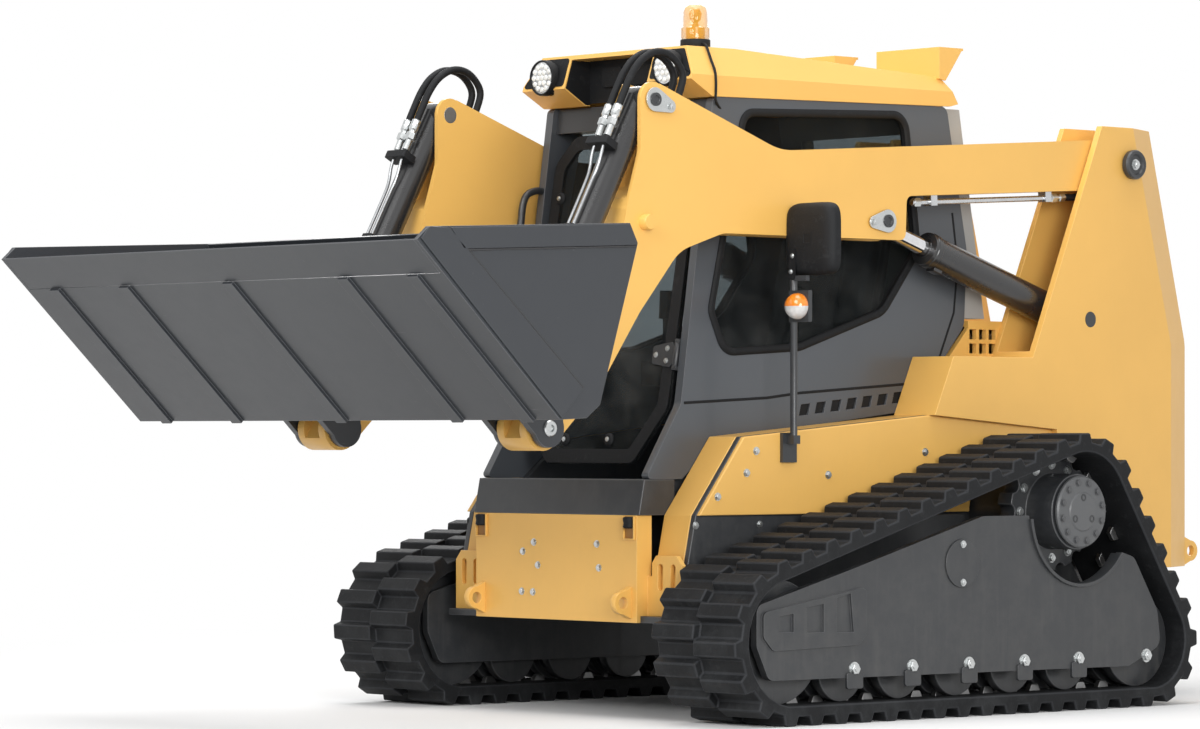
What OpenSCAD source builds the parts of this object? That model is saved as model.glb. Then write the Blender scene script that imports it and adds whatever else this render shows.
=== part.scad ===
/* [Tracks] */
// Width of one rubber track
track_w = 360; // [320:5:400]
// Distance between the middles of the two tracks
track_gauge = 1490; // [1460:5:1560]
// Thickness of the belt under its lugs
belt_t = 32; // [26:1:40]
// Height of the tread lugs
lug_h = 28; // [20:1:34]
// Wanted distance from one lug to the next
lug_pitch = 104; // [90:1:130]
// Radius of the belt's inside round the front idler
front_idler_r = 185; // [170:1:195]
// Radius of the belt's inside round the sprocket
sprocket_r = 185; // [170:1:195]
// Radius of the belt's inside round the rear idler
rear_idler_r = 145; // [130:1:155]
// Height of the sprocket's axle above the front idler's axle
sprocket_rise = 370; // [340:5:400]
// Rollers along the ground run of one track
roller_count = 5; // [4:1:6]
// Radius of a ground roller
roller_r = 95; // [80:1:100]

/* [Chassis] */
// Width over the two side plates of the frame
chassis_w = 1040; // [1000:5:1060]
// Thickness of the frame's steel plates
plate_t = 20; // [12:1:24]
// Height of the belly plate above the ground
ground_clear = 290; // [270:5:320]
// Thickness of the yellow body sheets
sheet_t = 16; // [8:1:20]
// Wall thickness of the rear towers
tower_t = 20; // [14:1:22]

/* [Cab] */
// Outside width of the cab
cab_w = 760; // [720:5:770]
// Thickness of the cab's walls
wall_t = 30; // [20:1:40]
// Thickness of the glass panes
glass_t = 6; // [4:1:8]
// Thickness of the roof shell
roof_t = 14; // [8:1:24]

/* [Lift arms] */
// Clear width between the two arms
arm_gap = 800; // [796:1:806]
// Width of one arm's box section
arm_w = 130; // [124:1:132]
// Side plates of the arm's head, beside the tilt cylinder
head_plate_t = 14; // [10:1:16]

/* [Cylinders] */
// Outside radius of the lift cylinders
lift_barrel_r = 52; // [44:1:56]
// Radius of the lift rods
lift_rod_r = 27; // [22:1:32]
// Outside radius of the tilt cylinders
tilt_barrel_r = 45; // [40:1:46]
// Radius of the tilt rods
tilt_rod_r = 25; // [20:1:30]

/* [Bucket] */
// Width of the bucket
bucket_w = 1954; // [1900:2:2000]
// Thickness of the bucket's sheets
bucket_t = 14; // [10:1:18]
// Thickness of the cutting edge
edge_t = 24; // [18:1:30]

/* [Hidden] */

$fn = 48;
yellow = [0.95, 0.66, 0.18];
black = [0.10, 0.10, 0.11];
grey = [0.30, 0.31, 0.33];
steel = [0.72, 0.73, 0.75];
glass = [0.55, 0.65, 0.70, 0.4];
rubber = [0.07, 0.07, 0.08];

// Gap between pieces that seat on each other, round a pin, and beside a moving piece
seat_gap = 0.2;
pin_gap = 0.2;
side_gap = 5;

// Cross places, from the middle plane outwards
cab_x = cab_w / 2;
arm_x0 = arm_gap / 2;
arm_x1 = arm_x0 + arm_w;
arm_mid_x = (arm_x0 + arm_x1) / 2;
frame_x = chassis_w / 2;
panel_x = arm_x1 + side_gap + 1;
tower_x0 = arm_x0 - side_gap - tower_t;
tower_x1 = panel_x + tower_t + 4;
corner_x = tower_x1 - 80;
track_x = track_gauge / 2;
track_in = track_x - track_w / 2;
track_out = track_x + track_w / 2;

// Pins of the loader, as [lengthwise, height]
arm_pivot = [1555, 1730];
lift_base = [1360, 1225];
lift_eye = [454, 1515];
tilt_top = [-525, 1845];
tilt_eye = [-953, 1071];
bucket_pin = [-960, 872];

// Functions for outlines in the side plane
function unit(v) = v / norm(v);
function mid(a, b, f = 0.5) = a + (b - a) * f;
function corner_arc(a, p, b, r, n = 6) =
    r <= 0 ? [p] :
    let (u = unit(a - p), v = unit(b - p), half = acos(u * v) / 2,
         c = p + unit(u + v) * r / sin(half),
         s = p + u * r / tan(half), e = p + v * r / tan(half),
         a0 = atan2(s.y - c.y, s.x - c.x), a1 = atan2(e.y - c.y, e.x - c.x),
         sweep = (a1 - a0 + 540) % 360 - 180)
    [for (i = [0 : n]) c + r * [cos(a0 + sweep * i / n), sin(a0 + sweep * i / n)]];
// Outline with each corner rounded, by one radius or by a list of them
function rounded(pts, r) = let (m = len(pts))
    [for (i = [0 : m - 1])
        each corner_arc(pts[(i + m - 1) % m], pts[i], pts[(i + 1) % m], is_list(r) ? r[i] : r)];
function inward(p, q) = let (d = unit(q - p)) [-d.y, d.x];
// Outline moved inwards, edge by edge; it runs anticlockwise
function inset(pts, d) = let (m = len(pts))
    [for (i = [0 : m - 1])
        let (p = pts[i], h = (i + m - 1) % m,
             n0 = inward(pts[h], p), n1 = inward(p, pts[(i + 1) % m]),
             d0 = is_list(d) ? d[h] : d, d1 = is_list(d) ? d[i] : d,
             det = n0.x * n1.y - n0.y * n1.x)
        p + [(d0 * n1.y - d1 * n0.y) / det, (n0.x * d1 - n1.x * d0) / det]];

// Side outline swept across the machine from x0 to x1
module across(x0, x1) {
    translate([x0, 0, 0]) rotate([90, 0, 90]) linear_extrude(x1 - x0) children();
}
module slab(pts, x0, x1) { across(x0, x1) polygon(pts); }
// Round bar across the machine at the side-plane point p
module bar(p, x0, x1, r) {
    translate([x0, p.x, p.y]) rotate([0, 90, 0]) cylinder(r = r, h = x1 - x0);
}
module block(x0, x1, y0, y1, z0, z1) { translate([x0, y0, z0]) cube([x1 - x0, y1 - y0, z1 - z0]); }
module both() {
    children();
    mirror([1, 0, 0]) children();
}
// Frame that starts at the side-plane point p at the arm's middle and runs along X towards q
module along(p, q, x = arm_mid_x) {
    translate([x, p.x, p.y]) rotate([0, 0, 90]) rotate([0, -atan2(q.y - p.y, q.x - p.x), 0]) children();
}

// Tracks: wheels as [lengthwise, height, inside radius of the belt]
tip_t = belt_t + lug_h;
front_idler = [-325, front_idler_r + tip_t];
sprocket = [940, front_idler.y + sprocket_rise];
rear_idler = [1255, rear_idler_r + tip_t];
wheels = [concat(rear_idler, rear_idler_r), concat(sprocket, sprocket_r), concat(front_idler, front_idler_r)];
wheel_n = len(wheels);
function wheel_c(i) = [wheels[i % wheel_n].x, wheels[i % wheel_n].y];
function wheel_r(i) = wheels[i % wheel_n].z;
// Direction of the belt's outer normal on the straight from wheel i to the next
function run_normal(i) = let (d = wheel_c(i + 1) - wheel_c(i))
    (atan2(d.y, d.x) - acos((wheel_r(i) - wheel_r(i + 1)) / norm(d)) + 720) % 360;
function turn_from(i) = run_normal(i + wheel_n - 1);
function turn_sweep(i) = (run_normal(i) - turn_from(i) + 720) % 360;
function arc_len(i) = (wheel_r(i) + belt_t) * turn_sweep(i) * PI / 180;
function run_len(i) = let (d = norm(wheel_c(i + 1) - wheel_c(i)), k = wheel_r(i) - wheel_r(i + 1))
    sqrt(d * d - k * k);
function stretch(j) = j % 2 == 0 ? arc_len(j / 2) : run_len((j - 1) / 2);
function reach(j) = j < 0 ? 0 : reach(j - 1) + stretch(j);
loop_len = reach(2 * wheel_n - 1);
lug_count = round(loop_len / lug_pitch);
// Point of the belt at the length s round the loop, h outside the belt's inner face
function belt_point(s, h, j = 0) =
    j < 2 * wheel_n - 1 && s > reach(j) ? belt_point(s, h, j + 1) :
    let (i = floor(j / 2), t = s - reach(j - 1))
    j % 2 == 0 ?
        let (a = turn_from(i) + t / (wheel_r(i) + belt_t) * 180 / PI)
        wheel_c(i) + (wheel_r(i) + h) * [cos(a), sin(a)] :
        let (a = run_normal(i))
        wheel_c(i) + (wheel_r(i) + h) * [cos(a), sin(a)] + t * [-sin(a), cos(a)];
turn_steps = 12;
// The belt's inside runs as tangents round each wheel, so that no chord cuts into it
belt_inside = [for (i = [0 : wheel_n - 1], k = [0 : turn_steps - 1])
    let (a = turn_from(i) + turn_sweep(i) * (k + 0.5) / turn_steps)
    wheel_c(i) + wheel_r(i) / cos(turn_sweep(i) / turn_steps / 2) * [cos(a), sin(a)]];
// Tread outline: each lug rises, runs flat and falls; stations are shares of the pitch
lug_stations = [[0, 0], [0.10, 1], [0.48, 1], [0.58, 0]];
function tread(phase) = [for (k = [0 : lug_count - 1], st = lug_stations)
    let (s = (k + st[0] + phase) * loop_len / lug_count)
    belt_point(s >= loop_len ? s - loop_len : s, belt_t + st[1] * lug_h)];

// One belt: the two halves of the tread are half a pitch apart
module track() {
    for (half = [0, 1])
        translate([half * track_w / 2, 0, 0]) across(track_in, track_in + track_w / 2) difference() {
            polygon(tread(half * 0.42));
            polygon(belt_inside);
        }
}
module left_track() { color(rubber) track(); }
module right_track() { color(rubber) mirror([1, 0, 0]) track(); }

// Track frames: two side plates on a box beam, with the beams that carry them from the chassis
frame_plate_t = 26;
frame_out = track_out - 28;
frame_in = track_in + 28;
sprocket_cut = sprocket_r + 48;
roller_z = tip_t + roller_r;
roller_from = -55;
roller_to = 930;
function roller_y(i) = roller_from + (roller_to - roller_from) * i / (roller_count - 1);
frame_outline = rounded([[-405, 135], [1165, 128], [1315, 190], [1300, 300], [1190, 470], [702, 606],
    [502, 606], [-75, 452], [-455, 355], [-455, 235]], [30, 40, 40, 60, 40, 60, 60, 80, 30, 40]);
carrier_beams = [[90, 385], [640, 430]];
carrier_r = 58;
// Raised panel on the nose of the outer plate, with three windows that grow to the rear
nose_panel = rounded([[-434, 262], [-395, 222], [-40, 230], [-8, 262], [-8, 402], [-434, 336]],
    [20, 20, 30, 20, 20, 20]);
nose_windows = [[[-373, 276], [-312, 276], [-312, 330], [-373, 322]],
    [[-258, 272], [-188, 272], [-188, 356], [-258, 346]], [[-134, 269], [-63, 269], [-76, 384], [-134, 372]]];
nose_panel_t = 8;
module track_frame() {
    for (x = [frame_in, frame_out - frame_plate_t])
        difference() {
            slab(frame_outline, x, x + frame_plate_t);
            bar(sprocket, x - 1, x + frame_plate_t + 1, sprocket_cut);
        }
    slab([[40, 300], [660, 300], [660, 430], [620, 500], [420, 500], [40, 410]],
        frame_in + frame_plate_t, frame_out - frame_plate_t);
    difference() {
        slab(nose_panel, frame_out - 1, frame_out + nose_panel_t);
        for (w = nose_windows) slab(w, frame_out, frame_out + nose_panel_t + 1);
    }
    for (p = carrier_beams) bar(p, frame_x, frame_in, carrier_r);
}
module track_frames() { color(black) both() track_frame(); }

// Ground rollers with three flanges, and the two idlers, on axles between the plates
axle_x0 = frame_in + frame_plate_t + seat_gap;
axle_x1 = frame_out - frame_plate_t - seat_gap;
roller_axle_r = 24;
module flanged_wheel(p, r, flange_w, waist) {
    bar(p, axle_x0, axle_x1, roller_axle_r);
    bar(p, track_x - 80, track_x + 80, r * waist);
    for (x = [-80, 0, 80]) bar(p, track_x + x - flange_w / 2, track_x + x + flange_w / 2, r);
}
module rollers() {
    color(black) both() {
        for (i = [0 : roller_count - 1])
            flanged_wheel([roller_y(i), roller_z], roller_r - seat_gap, 34, 0.75);
        flanged_wheel(front_idler, front_idler_r - seat_gap, 40, 0.86);
        flanged_wheel(rear_idler, rear_idler_r - seat_gap, 40, 0.82);
    }
}

// Sprocket ring on its final drive, which is bolted to the frame's side plate
sprocket_teeth = 14;
sprocket_t = 60;
hub_r = 118;
module sprocket_wheel() {
    difference() {
        bar(sprocket, track_x - sprocket_t / 2, track_x + sprocket_t / 2, sprocket_r - seat_gap);
        for (k = [0 : sprocket_teeth - 1])
            bar(sprocket + (sprocket_r + 6) * [cos(k * 360 / sprocket_teeth), sin(k * 360 / sprocket_teeth)],
                track_x - sprocket_t, track_x + sprocket_t, 24);
    }
    bar(sprocket, frame_x, track_x, hub_r - 8);
    bar(sprocket, track_x, frame_out - 12, hub_r);
    bar(sprocket, frame_out - 12, frame_out, hub_r - 22);
}
module sprockets() { color(black) both() sprocket_wheel(); }

// Chassis: two side plates on a belly plate, cut back in front to clear the lowered arms
chassis_front = -430;
flank_front = -385;
chassis_rear = 1780;
belly_kick = 1000;
belly_rise = 140;
tower_foot = [[640, 915], [1343, 860], [chassis_rear - 39, 790]];
flank_nose = [[flank_front, 430], [-345, 612], [-160, 848]];
flank_outline = concat([[flank_front, ground_clear + plate_t], [belly_kick, ground_clear + plate_t],
    [chassis_rear, ground_clear + belly_rise + plate_t], [chassis_rear, tower_foot[2].y - 6]],
    [for (i = [2 : -1 : 0]) tower_foot[i]], [for (i = [2 : -1 : 0]) flank_nose[i]]);
cab_floor_z = 640;
floor_t = 20;
web_places = [-240, 690];
rear_sill_z = 740;
tower_low = 420;
rear_overhang = 131;
tower_rear = chassis_rear + rear_overhang;
sill_y = tower_rear - 4;
sill_t = 26;
sill_x = tower_x0 - seat_gap;
belly_outline = [[chassis_front, ground_clear], [belly_kick, ground_clear],
    [chassis_rear, ground_clear + belly_rise], [chassis_rear, ground_clear + belly_rise + plate_t],
    [belly_kick, ground_clear + plate_t], [chassis_front, ground_clear + plate_t]];
module frame_plates() {
    color(black) both() slab(flank_outline, frame_x - plate_t, frame_x);
}
// Belly plate with the two webs that carry the cab's floor, and the sill under the rear door
module belly_plate() {
    color(black) {
        slab(belly_outline, -frame_x, frame_x);
        for (y = web_places)
            block(plate_t - frame_x, frame_x - plate_t, y, y + plate_t, ground_clear + plate_t - 1, cab_floor_z);
        block(plate_t - frame_x, frame_x - plate_t, chassis_rear - plate_t, chassis_rear,
            ground_clear + belly_rise + plate_t - 1, rear_sill_z);
        block(-sill_x, sill_x, chassis_rear - 1, sill_y, ground_clear + belly_rise + plate_t, tower_low + 50);
        block(-sill_x, sill_x, sill_y - sill_t, sill_y, ground_clear + belly_rise + plate_t, rear_sill_z);
    }
}

// Front apron: the middle plate under the step, with a recessed wing on each side
apron_w = 740;
apron_top = 612;
module front_apron() {
    color(yellow) {
        block(-apron_w / 2, apron_w / 2, chassis_front - sheet_t, chassis_front, ground_clear, apron_top);
        both() {
            block(apron_w / 2 - sheet_t, apron_w / 2, chassis_front, flank_front,
                ground_clear + plate_t, apron_top);
            difference() {
                block(apron_w / 2 - sheet_t, frame_x, flank_front - sheet_t, flank_front,
                    ground_clear + plate_t, flank_nose[0].y);
                block(arm_x0 - 10, frame_x + 1, flank_front - sheet_t - 1, flank_front + 1,
                    wing_step_z, flank_nose[0].y + 1);
            }
            wing_bracket();
        }
    }
}
// Bracket on a wing: a plate with cut corners and two upright slots
wing_step_z = 372;
wing_top = 492;
wing_slots = [425, 480];
slot_w = 22;
slot_z = [398, 456];
module wing_bracket() {
    translate([0, flank_front, 0]) rotate([90, 0, 0]) linear_extrude(sheet_t) difference() {
        polygon([[arm_x0 - 12, wing_step_z - 1], [frame_x, wing_step_z - 1], [frame_x, wing_top - 28],
            [frame_x - 24, wing_top], [arm_x0 + 6, wing_top], [arm_x0 - 12, wing_top - 22]]);
        for (x = wing_slots) hull() for (z = slot_z) translate([x, z]) circle(r = slot_w / 2);
    }
}

// Tie-down eyes: a lug on each lower corner of the apron and on each rear corner of the body
eye_r = 18;
eye_t = 22;
eye_rim = 16;
front_eye = [chassis_front - sheet_t - 34, 350];
rear_eye = [tower_rear + eye_r + eye_rim + seat_gap, tower_low + eye_r + eye_rim + 16];
front_eye_x = 337;
rear_eye_x = corner_x - eye_t / 2 - 4;
module tow_lug(p, root_y, x) {
    difference() {
        across(x - eye_t / 2, x + eye_t / 2) union() {
            translate(p) circle(r = eye_r + eye_rim);
            polygon([[p.x, p.y + eye_r + eye_rim], [root_y, p.y + eye_r + eye_rim + 14],
                [root_y, p.y - eye_r - eye_rim - 14], [p.x, p.y - eye_r - eye_rim]]);
        }
        bar(p, x - eye_t, x + eye_t, eye_r);
    }
}
module tow_eyes() {
    color(yellow) both() {
        tow_lug(front_eye, chassis_front - sheet_t, front_eye_x);
        tow_lug(rear_eye, tower_rear + seat_gap, rear_eye_x);
    }
}

// Step across the front of the cab
step_w = cab_w;
step_top = 720;
step_outline = [[chassis_front - sheet_t, apron_top], [-300, apron_top], [-300, step_top], [-424, step_top]];
module front_step() { color(black) slab(step_outline, -step_w / 2, step_w / 2); }

// Side panels over the frame plates, and the folded deck between them and the cab
panel_low = flank_nose[1].y;
panel_outline = [flank_nose[1], [1240, panel_low], tower_foot[1], tower_foot[0], flank_nose[2]];
deck_insets = [-60, -60, -60, -60, -60, -60, sheet_t, sheet_t, sheet_t, -60];
module side_panels() {
    color(yellow) both() {
        difference() {
            slab(panel_outline, frame_x, panel_x);
            bar(sprocket, frame_x - 1, panel_x + 1, hub_r);
        }
        difference() {
            slab(flank_outline, cab_x + seat_gap, frame_x - plate_t - seat_gap);
            slab(inset(flank_outline, deck_insets), cab_x, frame_x);
        }
    }
}

// Towers: an outer skin with a fold and a cut rear corner, a deck, and an inner plate beside the arm
rear_skin_t = 8;
tower_rear_low = tower_foot[2].x;
corner_y = tower_rear - tower_rear_low;
tower_bend_z = 1145;
tower_top = 1850;
tower_back = [tower_rear_low, 1560];
deck_z = 1100;
fold_y = 1452;
fold_depth = 9;
tower_lean = atan((tower_back[0] - tower_back[1]) / (tower_top - tower_bend_z));
skirt_y = 1200;
skirt_foot = mid(tower_foot[0], tower_foot[1], (skirt_y - tower_foot[0].x) / (tower_foot[1].x - tower_foot[0].x));
tower_outline = [tower_foot[0], skirt_foot, [skirt_y + 130, tower_low], [tower_rear, tower_low],
    [tower_rear, tower_bend_z], [tower_back[1] + corner_y, tower_top],
    [1415, tower_top], [1088, deck_z], [724, deck_z]];
arm_bay = [[1000, deck_z + tower_t], [tower_back[0] + corner_y - rear_skin_t, deck_z + tower_t],
    [tower_back[0] + corner_y - rear_skin_t, tower_bend_z],
    [tower_back[1] + corner_y - rear_skin_t, tower_top], [tower_back[1] + corner_y - 60, tower_top + 100],
    [1000, tower_top + 100]];
side_bay = [tower_foot[0] + [24, tower_t], skirt_foot + [0, tower_t], [skirt_y, tower_low - 100],
    [tower_rear - rear_skin_t, tower_low - 100], [tower_rear - rear_skin_t, deck_z], [744, deck_z - 14]];
pivot_pin_r = 32;
base_pin_r = 25;
// Everything behind the cut corner, moved inwards by depth
module corner_cut(depth) {
    slope = corner_y / (tower_x1 - corner_x);
    back = depth * norm([1, slope]);
    outside = [[tower_x1 + 200, -200 * slope - back], [tower_x1 + 400, 1200], [corner_x - 300, 1200],
        [corner_x - 300, corner_y + 300 * slope - back]];
    translate([0, tower_back[0], 0]) linear_extrude(3000) polygon(outside);
    translate([0, tower_back[0], tower_bend_z]) rotate([tower_lean, 0, 0])
        translate([0, 0, -1500]) linear_extrude(3000) polygon(outside);
}
module tower() {
    difference() {
        slab(tower_outline, tower_x0, tower_x1);
        corner_cut(0);
        linear_extrude(3000) polygon([[tower_x1, fold_y], [tower_x1 - 2 * fold_depth, 2 * tower_rear_low - fold_y],
            [tower_x1 + 50, 2 * tower_rear_low - fold_y], [tower_x1 + 50, fold_y]]);
        block(tower_x0 - 1, cab_x + seat_gap, tower_foot[0].x - 1, hood_front, tower_low, deck_z + 1);
        difference() {
            slab(arm_bay, tower_x0 + tower_t, panel_x);
            corner_cut(rear_skin_t);
        }
        difference() {
            slab(side_bay, tower_x0 - 1, panel_x);
            corner_cut(rear_skin_t);
        }
        bar(arm_pivot, tower_x0 - 1, tower_x1 + 1, pivot_pin_r + pin_gap);
        bar(lift_base, tower_x0 - 1, tower_x1 + 1, base_pin_r + pin_gap);
    }
}
module towers() { color(yellow) both() tower(); }
// Pins of the arm pivot and of the lift cylinder's foot, each with a head outside
module frame_pins() {
    color(black) both() {
        bar(arm_pivot, tower_x0, tower_x1 + 1, pivot_pin_r);
        bar(arm_pivot, tower_x1 + seat_gap, tower_x1 + 14, pivot_pin_r + 8);
        bar(lift_base, tower_x0, tower_x1, base_pin_r);
    }
}

// Hood over the engine, with skirts that stand on the decks and a vented panel on each side
hood_z = 1218;
hood_t = 18;
hood_front = 985;
hood_rear = tower_rear - 30;
hood_x = tower_x0 - seat_gap;
vent_rows = 2;
vent_cols = 3;
vent_size = 32;
vent_step = 45;
vent_from = [990, deck_z + 14];
module hood() {
    color(yellow) {
        block(-hood_x, hood_x, hood_front, hood_rear, hood_z - hood_t, hood_z);
        both() difference() {
            slab([[895, deck_z + seat_gap], [hood_rear, deck_z + seat_gap], [hood_rear, hood_z - 1],
                [hood_front, hood_z - 1], [hood_front, deck_z + 95]], hood_x - hood_t, hood_x);
            for (r = [0 : vent_rows - 1], c = [0 : vent_cols - 1])
                translate([hood_x - hood_t - 1, vent_from.x + c * vent_step, vent_from.y + r * vent_step])
                    cube([hood_t + 2, vent_size, vent_size]);
        }
    }
}
// Engine with its pump, one plain block between the towers
engine_w = 540;
module engine_block() {
    color(grey) slab([[belly_kick + 30, ground_clear + plate_t + 6], [chassis_rear - 30, ground_clear + belly_rise + plate_t],
        [chassis_rear - 30, deck_z - 40], [belly_kick + 30, deck_z - 40]], -engine_w / 2, engine_w / 2);
}

// Rear door with louvres, hung on its right edge
door_low = rear_sill_z + 20;
rear_door_t = 26;
rear_door_y = tower_rear - 4;
rear_door_x = tower_x0 - side_gap;
louvre_n = 6;
module rear_door() {
    color(black) difference() {
        block(-rear_door_x, rear_door_x, rear_door_y - rear_door_t, rear_door_y, door_low, hood_z - 26);
        for (k = [0 : louvre_n - 1])
            block(-rear_door_x + 90, rear_door_x - 90, rear_door_y - rear_door_t - 1, rear_door_y + 1,
                door_low + 80 + k * 52, door_low + 80 + k * 52 + 24);
    }
    color(black) for (z = rear_hinge_places) translate([rear_hinge.x, rear_hinge.y, z]) {
        knuckle();
        translate([hinge_pin_r + 2, -knuckle_r - 1, 0]) cube([50, 6, knuckle_h]);
    }
}

// Cab: side walls with one large window each
cab_in = cab_x - wall_t;
cab_outline = rounded([[-141, 1880], [-275, 945], [-418, step_top + seat_gap], [-270, step_top + seat_gap], [-120, 838],
    [640, 922], [790, 935], [800, 1020], [960, 1200], [973, 1440], [880, 1897]],
    [20, 60, 12, 0, 0, 0, 0, 60, 60, 120, 30]);
window_outline = rounded([[-11, 1838], [690, 1862], [748, 1437], [590, 1240], [223, 1124], [-95, 1105],
    [-152, 1230]], [50, 60, 70, 90, 120, 60, 50]);
// Row of slanted recesses along the lower edge, from one side-plane point to another
grille_row = [[223, 912], [700, 958]];
grille_n = 8;
grille_w = 40;
grille_h = 36;
grille_depth = 6;
module cab_sides() {
    color(grey) both() difference() {
        slab(cab_outline, cab_in, cab_x);
        slab(window_outline, cab_in - 1, cab_x + 1);
        for (k = [0 : grille_n - 1]) {
            p = mid(grille_row[0], grille_row[1], k / (grille_n - 1));
            slab([p, p + [grille_w, 3], p + [grille_w + 10, grille_h + 3], p + [10, grille_h]],
                cab_x - grille_depth, cab_x + 1);
        }
    }
}
// Panes lie in the windows, held by a thin seal
module side_glass() {
    color(glass) both() difference() {
        slab(rounded(inset([[-152, 1230], [-95, 1105], [223, 1124], [590, 1240], [748, 1437], [690, 1862],
            [-11, 1838]], 0.5), [50, 60, 120, 90, 70, 60, 50]), cab_x - 14 - glass_t, cab_x - 14);
    }
}

// Rear wall with its window, between the side walls
rear_face = [[800, 1020], [960, 1200], [973, 1440], [880, 1897]];
rear_lean = atan((rear_face[2].x - rear_face[3].x) / (rear_face[3].y - rear_face[2].y));
rear_window = [520, 340];
module rear_plane() {
    translate([0, rear_face[2].x, rear_face[2].y]) rotate([rear_lean, 0, 0]) children();
}
// Posts behind the wall's two edges, tapered to the roof
corner_post_x = [300, 374];
corner_post_z = [hood_z + 7, 1890];
function rear_y(z) = lookup(z, [for (p = rear_face) [p.y, p.x]]);
module cab_rear_wall() {
    color(grey) difference() {
        slab(concat([for (p = rear_face) p - [10, 0]], [for (i = [3 : -1 : 0]) rear_face[i] - [10 + wall_t, 0]]),
            -cab_in + seat_gap, cab_in - seat_gap);
        rear_plane() translate([-rear_window.x / 2, -100, 50]) cube([rear_window.x, 200, rear_window.y]);
    }
    color(grey) both() {
        corner_post(2, corner_post_x[0], corner_post_x[1]);
        corner_post(-12, corner_post_x[0], cab_in - 1);
    }
}
module corner_post(from, x0, x1) {
    low = corner_post_z[0];
    high = corner_post_z[1];
    slab([[rear_y(low) + from, low], [rear_y(low) + 98, low], [rear_y(high) + 62, high], [rear_y(high) + from, high],
        rear_face[2] + [from, 0]], x0, x1);
}
module rear_glass() {
    color(glass) rear_plane() translate([-rear_window.x / 2 + 0.5, -34, 50.5])
        cube([rear_window.x - 1, glass_t, rear_window.y - 1]);
}

// Cab floor with low sides and the seat's pedestal
tub_front = -300;
tub_rear = 780;
module cab_base() {
    color(black) {
        block(-cab_in + seat_gap, cab_in - seat_gap, tub_front + seat_gap, tub_rear, cab_floor_z, cab_floor_z + floor_t);
        both() slab([[tub_front + seat_gap, cab_floor_z + floor_t - 1], [tub_rear, cab_floor_z + floor_t - 1],
            [tub_rear, 935], [-120, 836], [-270, step_top]], cab_in - 20, cab_in - seat_gap);
        block(-250, 250, 330, 740, cab_floor_z + floor_t - 1, 900);
        block(20 - cab_in, cab_in - 20, tub_rear - 20, tub_rear, cab_floor_z + floor_t - 1, 1015);
    }
}
seat_w = 470;
module seat() {
    color(black) {
        slab(rounded([[300, 900 + seat_gap], [700, 900 + seat_gap], [690, 1010], [290, 1035]], [30, 20, 20, 40]),
            -seat_w / 2, seat_w / 2);
        slab(rounded([[590, 1000], [700, 1000], [815, 1600], [735, 1620]], [20, 20, 40, 40]), -seat_w / 2, seat_w / 2);
    }
}
console_in = seat_w / 2 + side_gap;
lever_x = (console_in + cab_in) / 2;
module control_consoles() {
    color(black) both() {
        block(console_in, cab_in - seat_gap, 230, 600, 1010, 1090);
        translate([lever_x, 290, 1080]) cylinder(r = 11, h = 150);
        translate([lever_x, 290, 1225]) cylinder(r1 = 24, r2 = 20, h = 90);
    }
}
// Header under the roof, over the door
module cab_header() {
    color(black) slab([[-132, 1800], [-60, 1800], [-60, 1878], [-122, 1878]], -cab_in + seat_gap, cab_in - seat_gap);
}

// Roof: a hollow shell with folded sides, lamp boxes in front and lamp visors behind
roof_w = 776;
roof_side = [[-150, 1880.1], [890, 1897.5], [925, 1906], [870, 1990], [0, 2035], [-205, 2035], [-240, 1930]];
roof_fold_z = 1945;
roof_flat = 660;
roof_section = [[-roof_w / 2, 1800], [roof_w / 2, 1800], [roof_w / 2, roof_fold_z],
    [roof_flat / 2, 2036], [-roof_flat / 2, 2036], [-roof_w / 2, roof_fold_z]];
roof_top = 2035;
lamp_x = 282;
lamp_z = 1968;
lamp_r = 50;
lamp_mouth_y = -250;
lamp_depth = 62;
visor_w = 280;
visor_x = 236;
module roof_form(side, section) {
    intersection() {
        slab(side, -500, 500);
        translate([0, 1200, 0]) rotate([90, 0, 0]) linear_extrude(2400) polygon(section);
    }
}
module cab_roof() {
    color(yellow) {
        difference() {
            roof_form(roof_side, roof_section);
            intersection() {
                roof_form([[-130, 1800], [880, 1800], [905, 1890], [858, 1976], [0, 2035 - roof_t],
                    [-130, 2035 - roof_t]], inset(roof_section, roof_t));
                block(-400, 400, -130, 1000, 1800, 2100);
            }
            both() translate([lamp_x, lamp_mouth_y + lamp_depth, lamp_z]) rotate([90, 0, 0])
                cylinder(r = lamp_r + 4, h = 200);
            block(-190, 190, -400, -130, 1800, 2035 - roof_t);
        }
        both() translate([visor_x - visor_w / 2, 0, 0]) rear_visor();
    }
}
module rear_visor() {
    block(0, visor_w, 850, 850 + 8, 1985, 2085);
    block(0, visor_w, 850, 960, 2078, 2086);
    for (x = [0, visor_w - 8])
        translate([x, 0, 0]) slab([[850, 1985], [880, 1980], [955, 2080], [850, 2080]], 0, 8);
}
module work_lamps() {
    color(black) both() translate([lamp_x, lamp_mouth_y + lamp_depth - seat_gap, lamp_z]) rotate([90, 0, 0])
        cylinder(r = lamp_r, h = lamp_depth - 8);
}
module lamp_lenses() {
    color(steel) both() translate([lamp_x, lamp_mouth_y + 8 - 2 * seat_gap, lamp_z]) rotate([90, 0, 0])
        cylinder(r = lamp_r - 4, h = 8);
}

// Beacon on the left front corner of the roof
beacon = [268, -110];
beacon_r = 46;
module beacon_base() {
    color(black) translate([beacon.x, beacon.y, roof_top + seat_gap]) cylinder(r = beacon_r, h = 26);
}
module beacon_lens() {
    color([0.95, 0.55, 0.05]) translate([beacon.x, beacon.y, roof_top + 26 + 2 * seat_gap])
        rotate_extrude() polygon([[0, 0], [42, 0], [42, 12], [38, 14], [36, 88], [26, 104], [0, 108]]);
}

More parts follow.
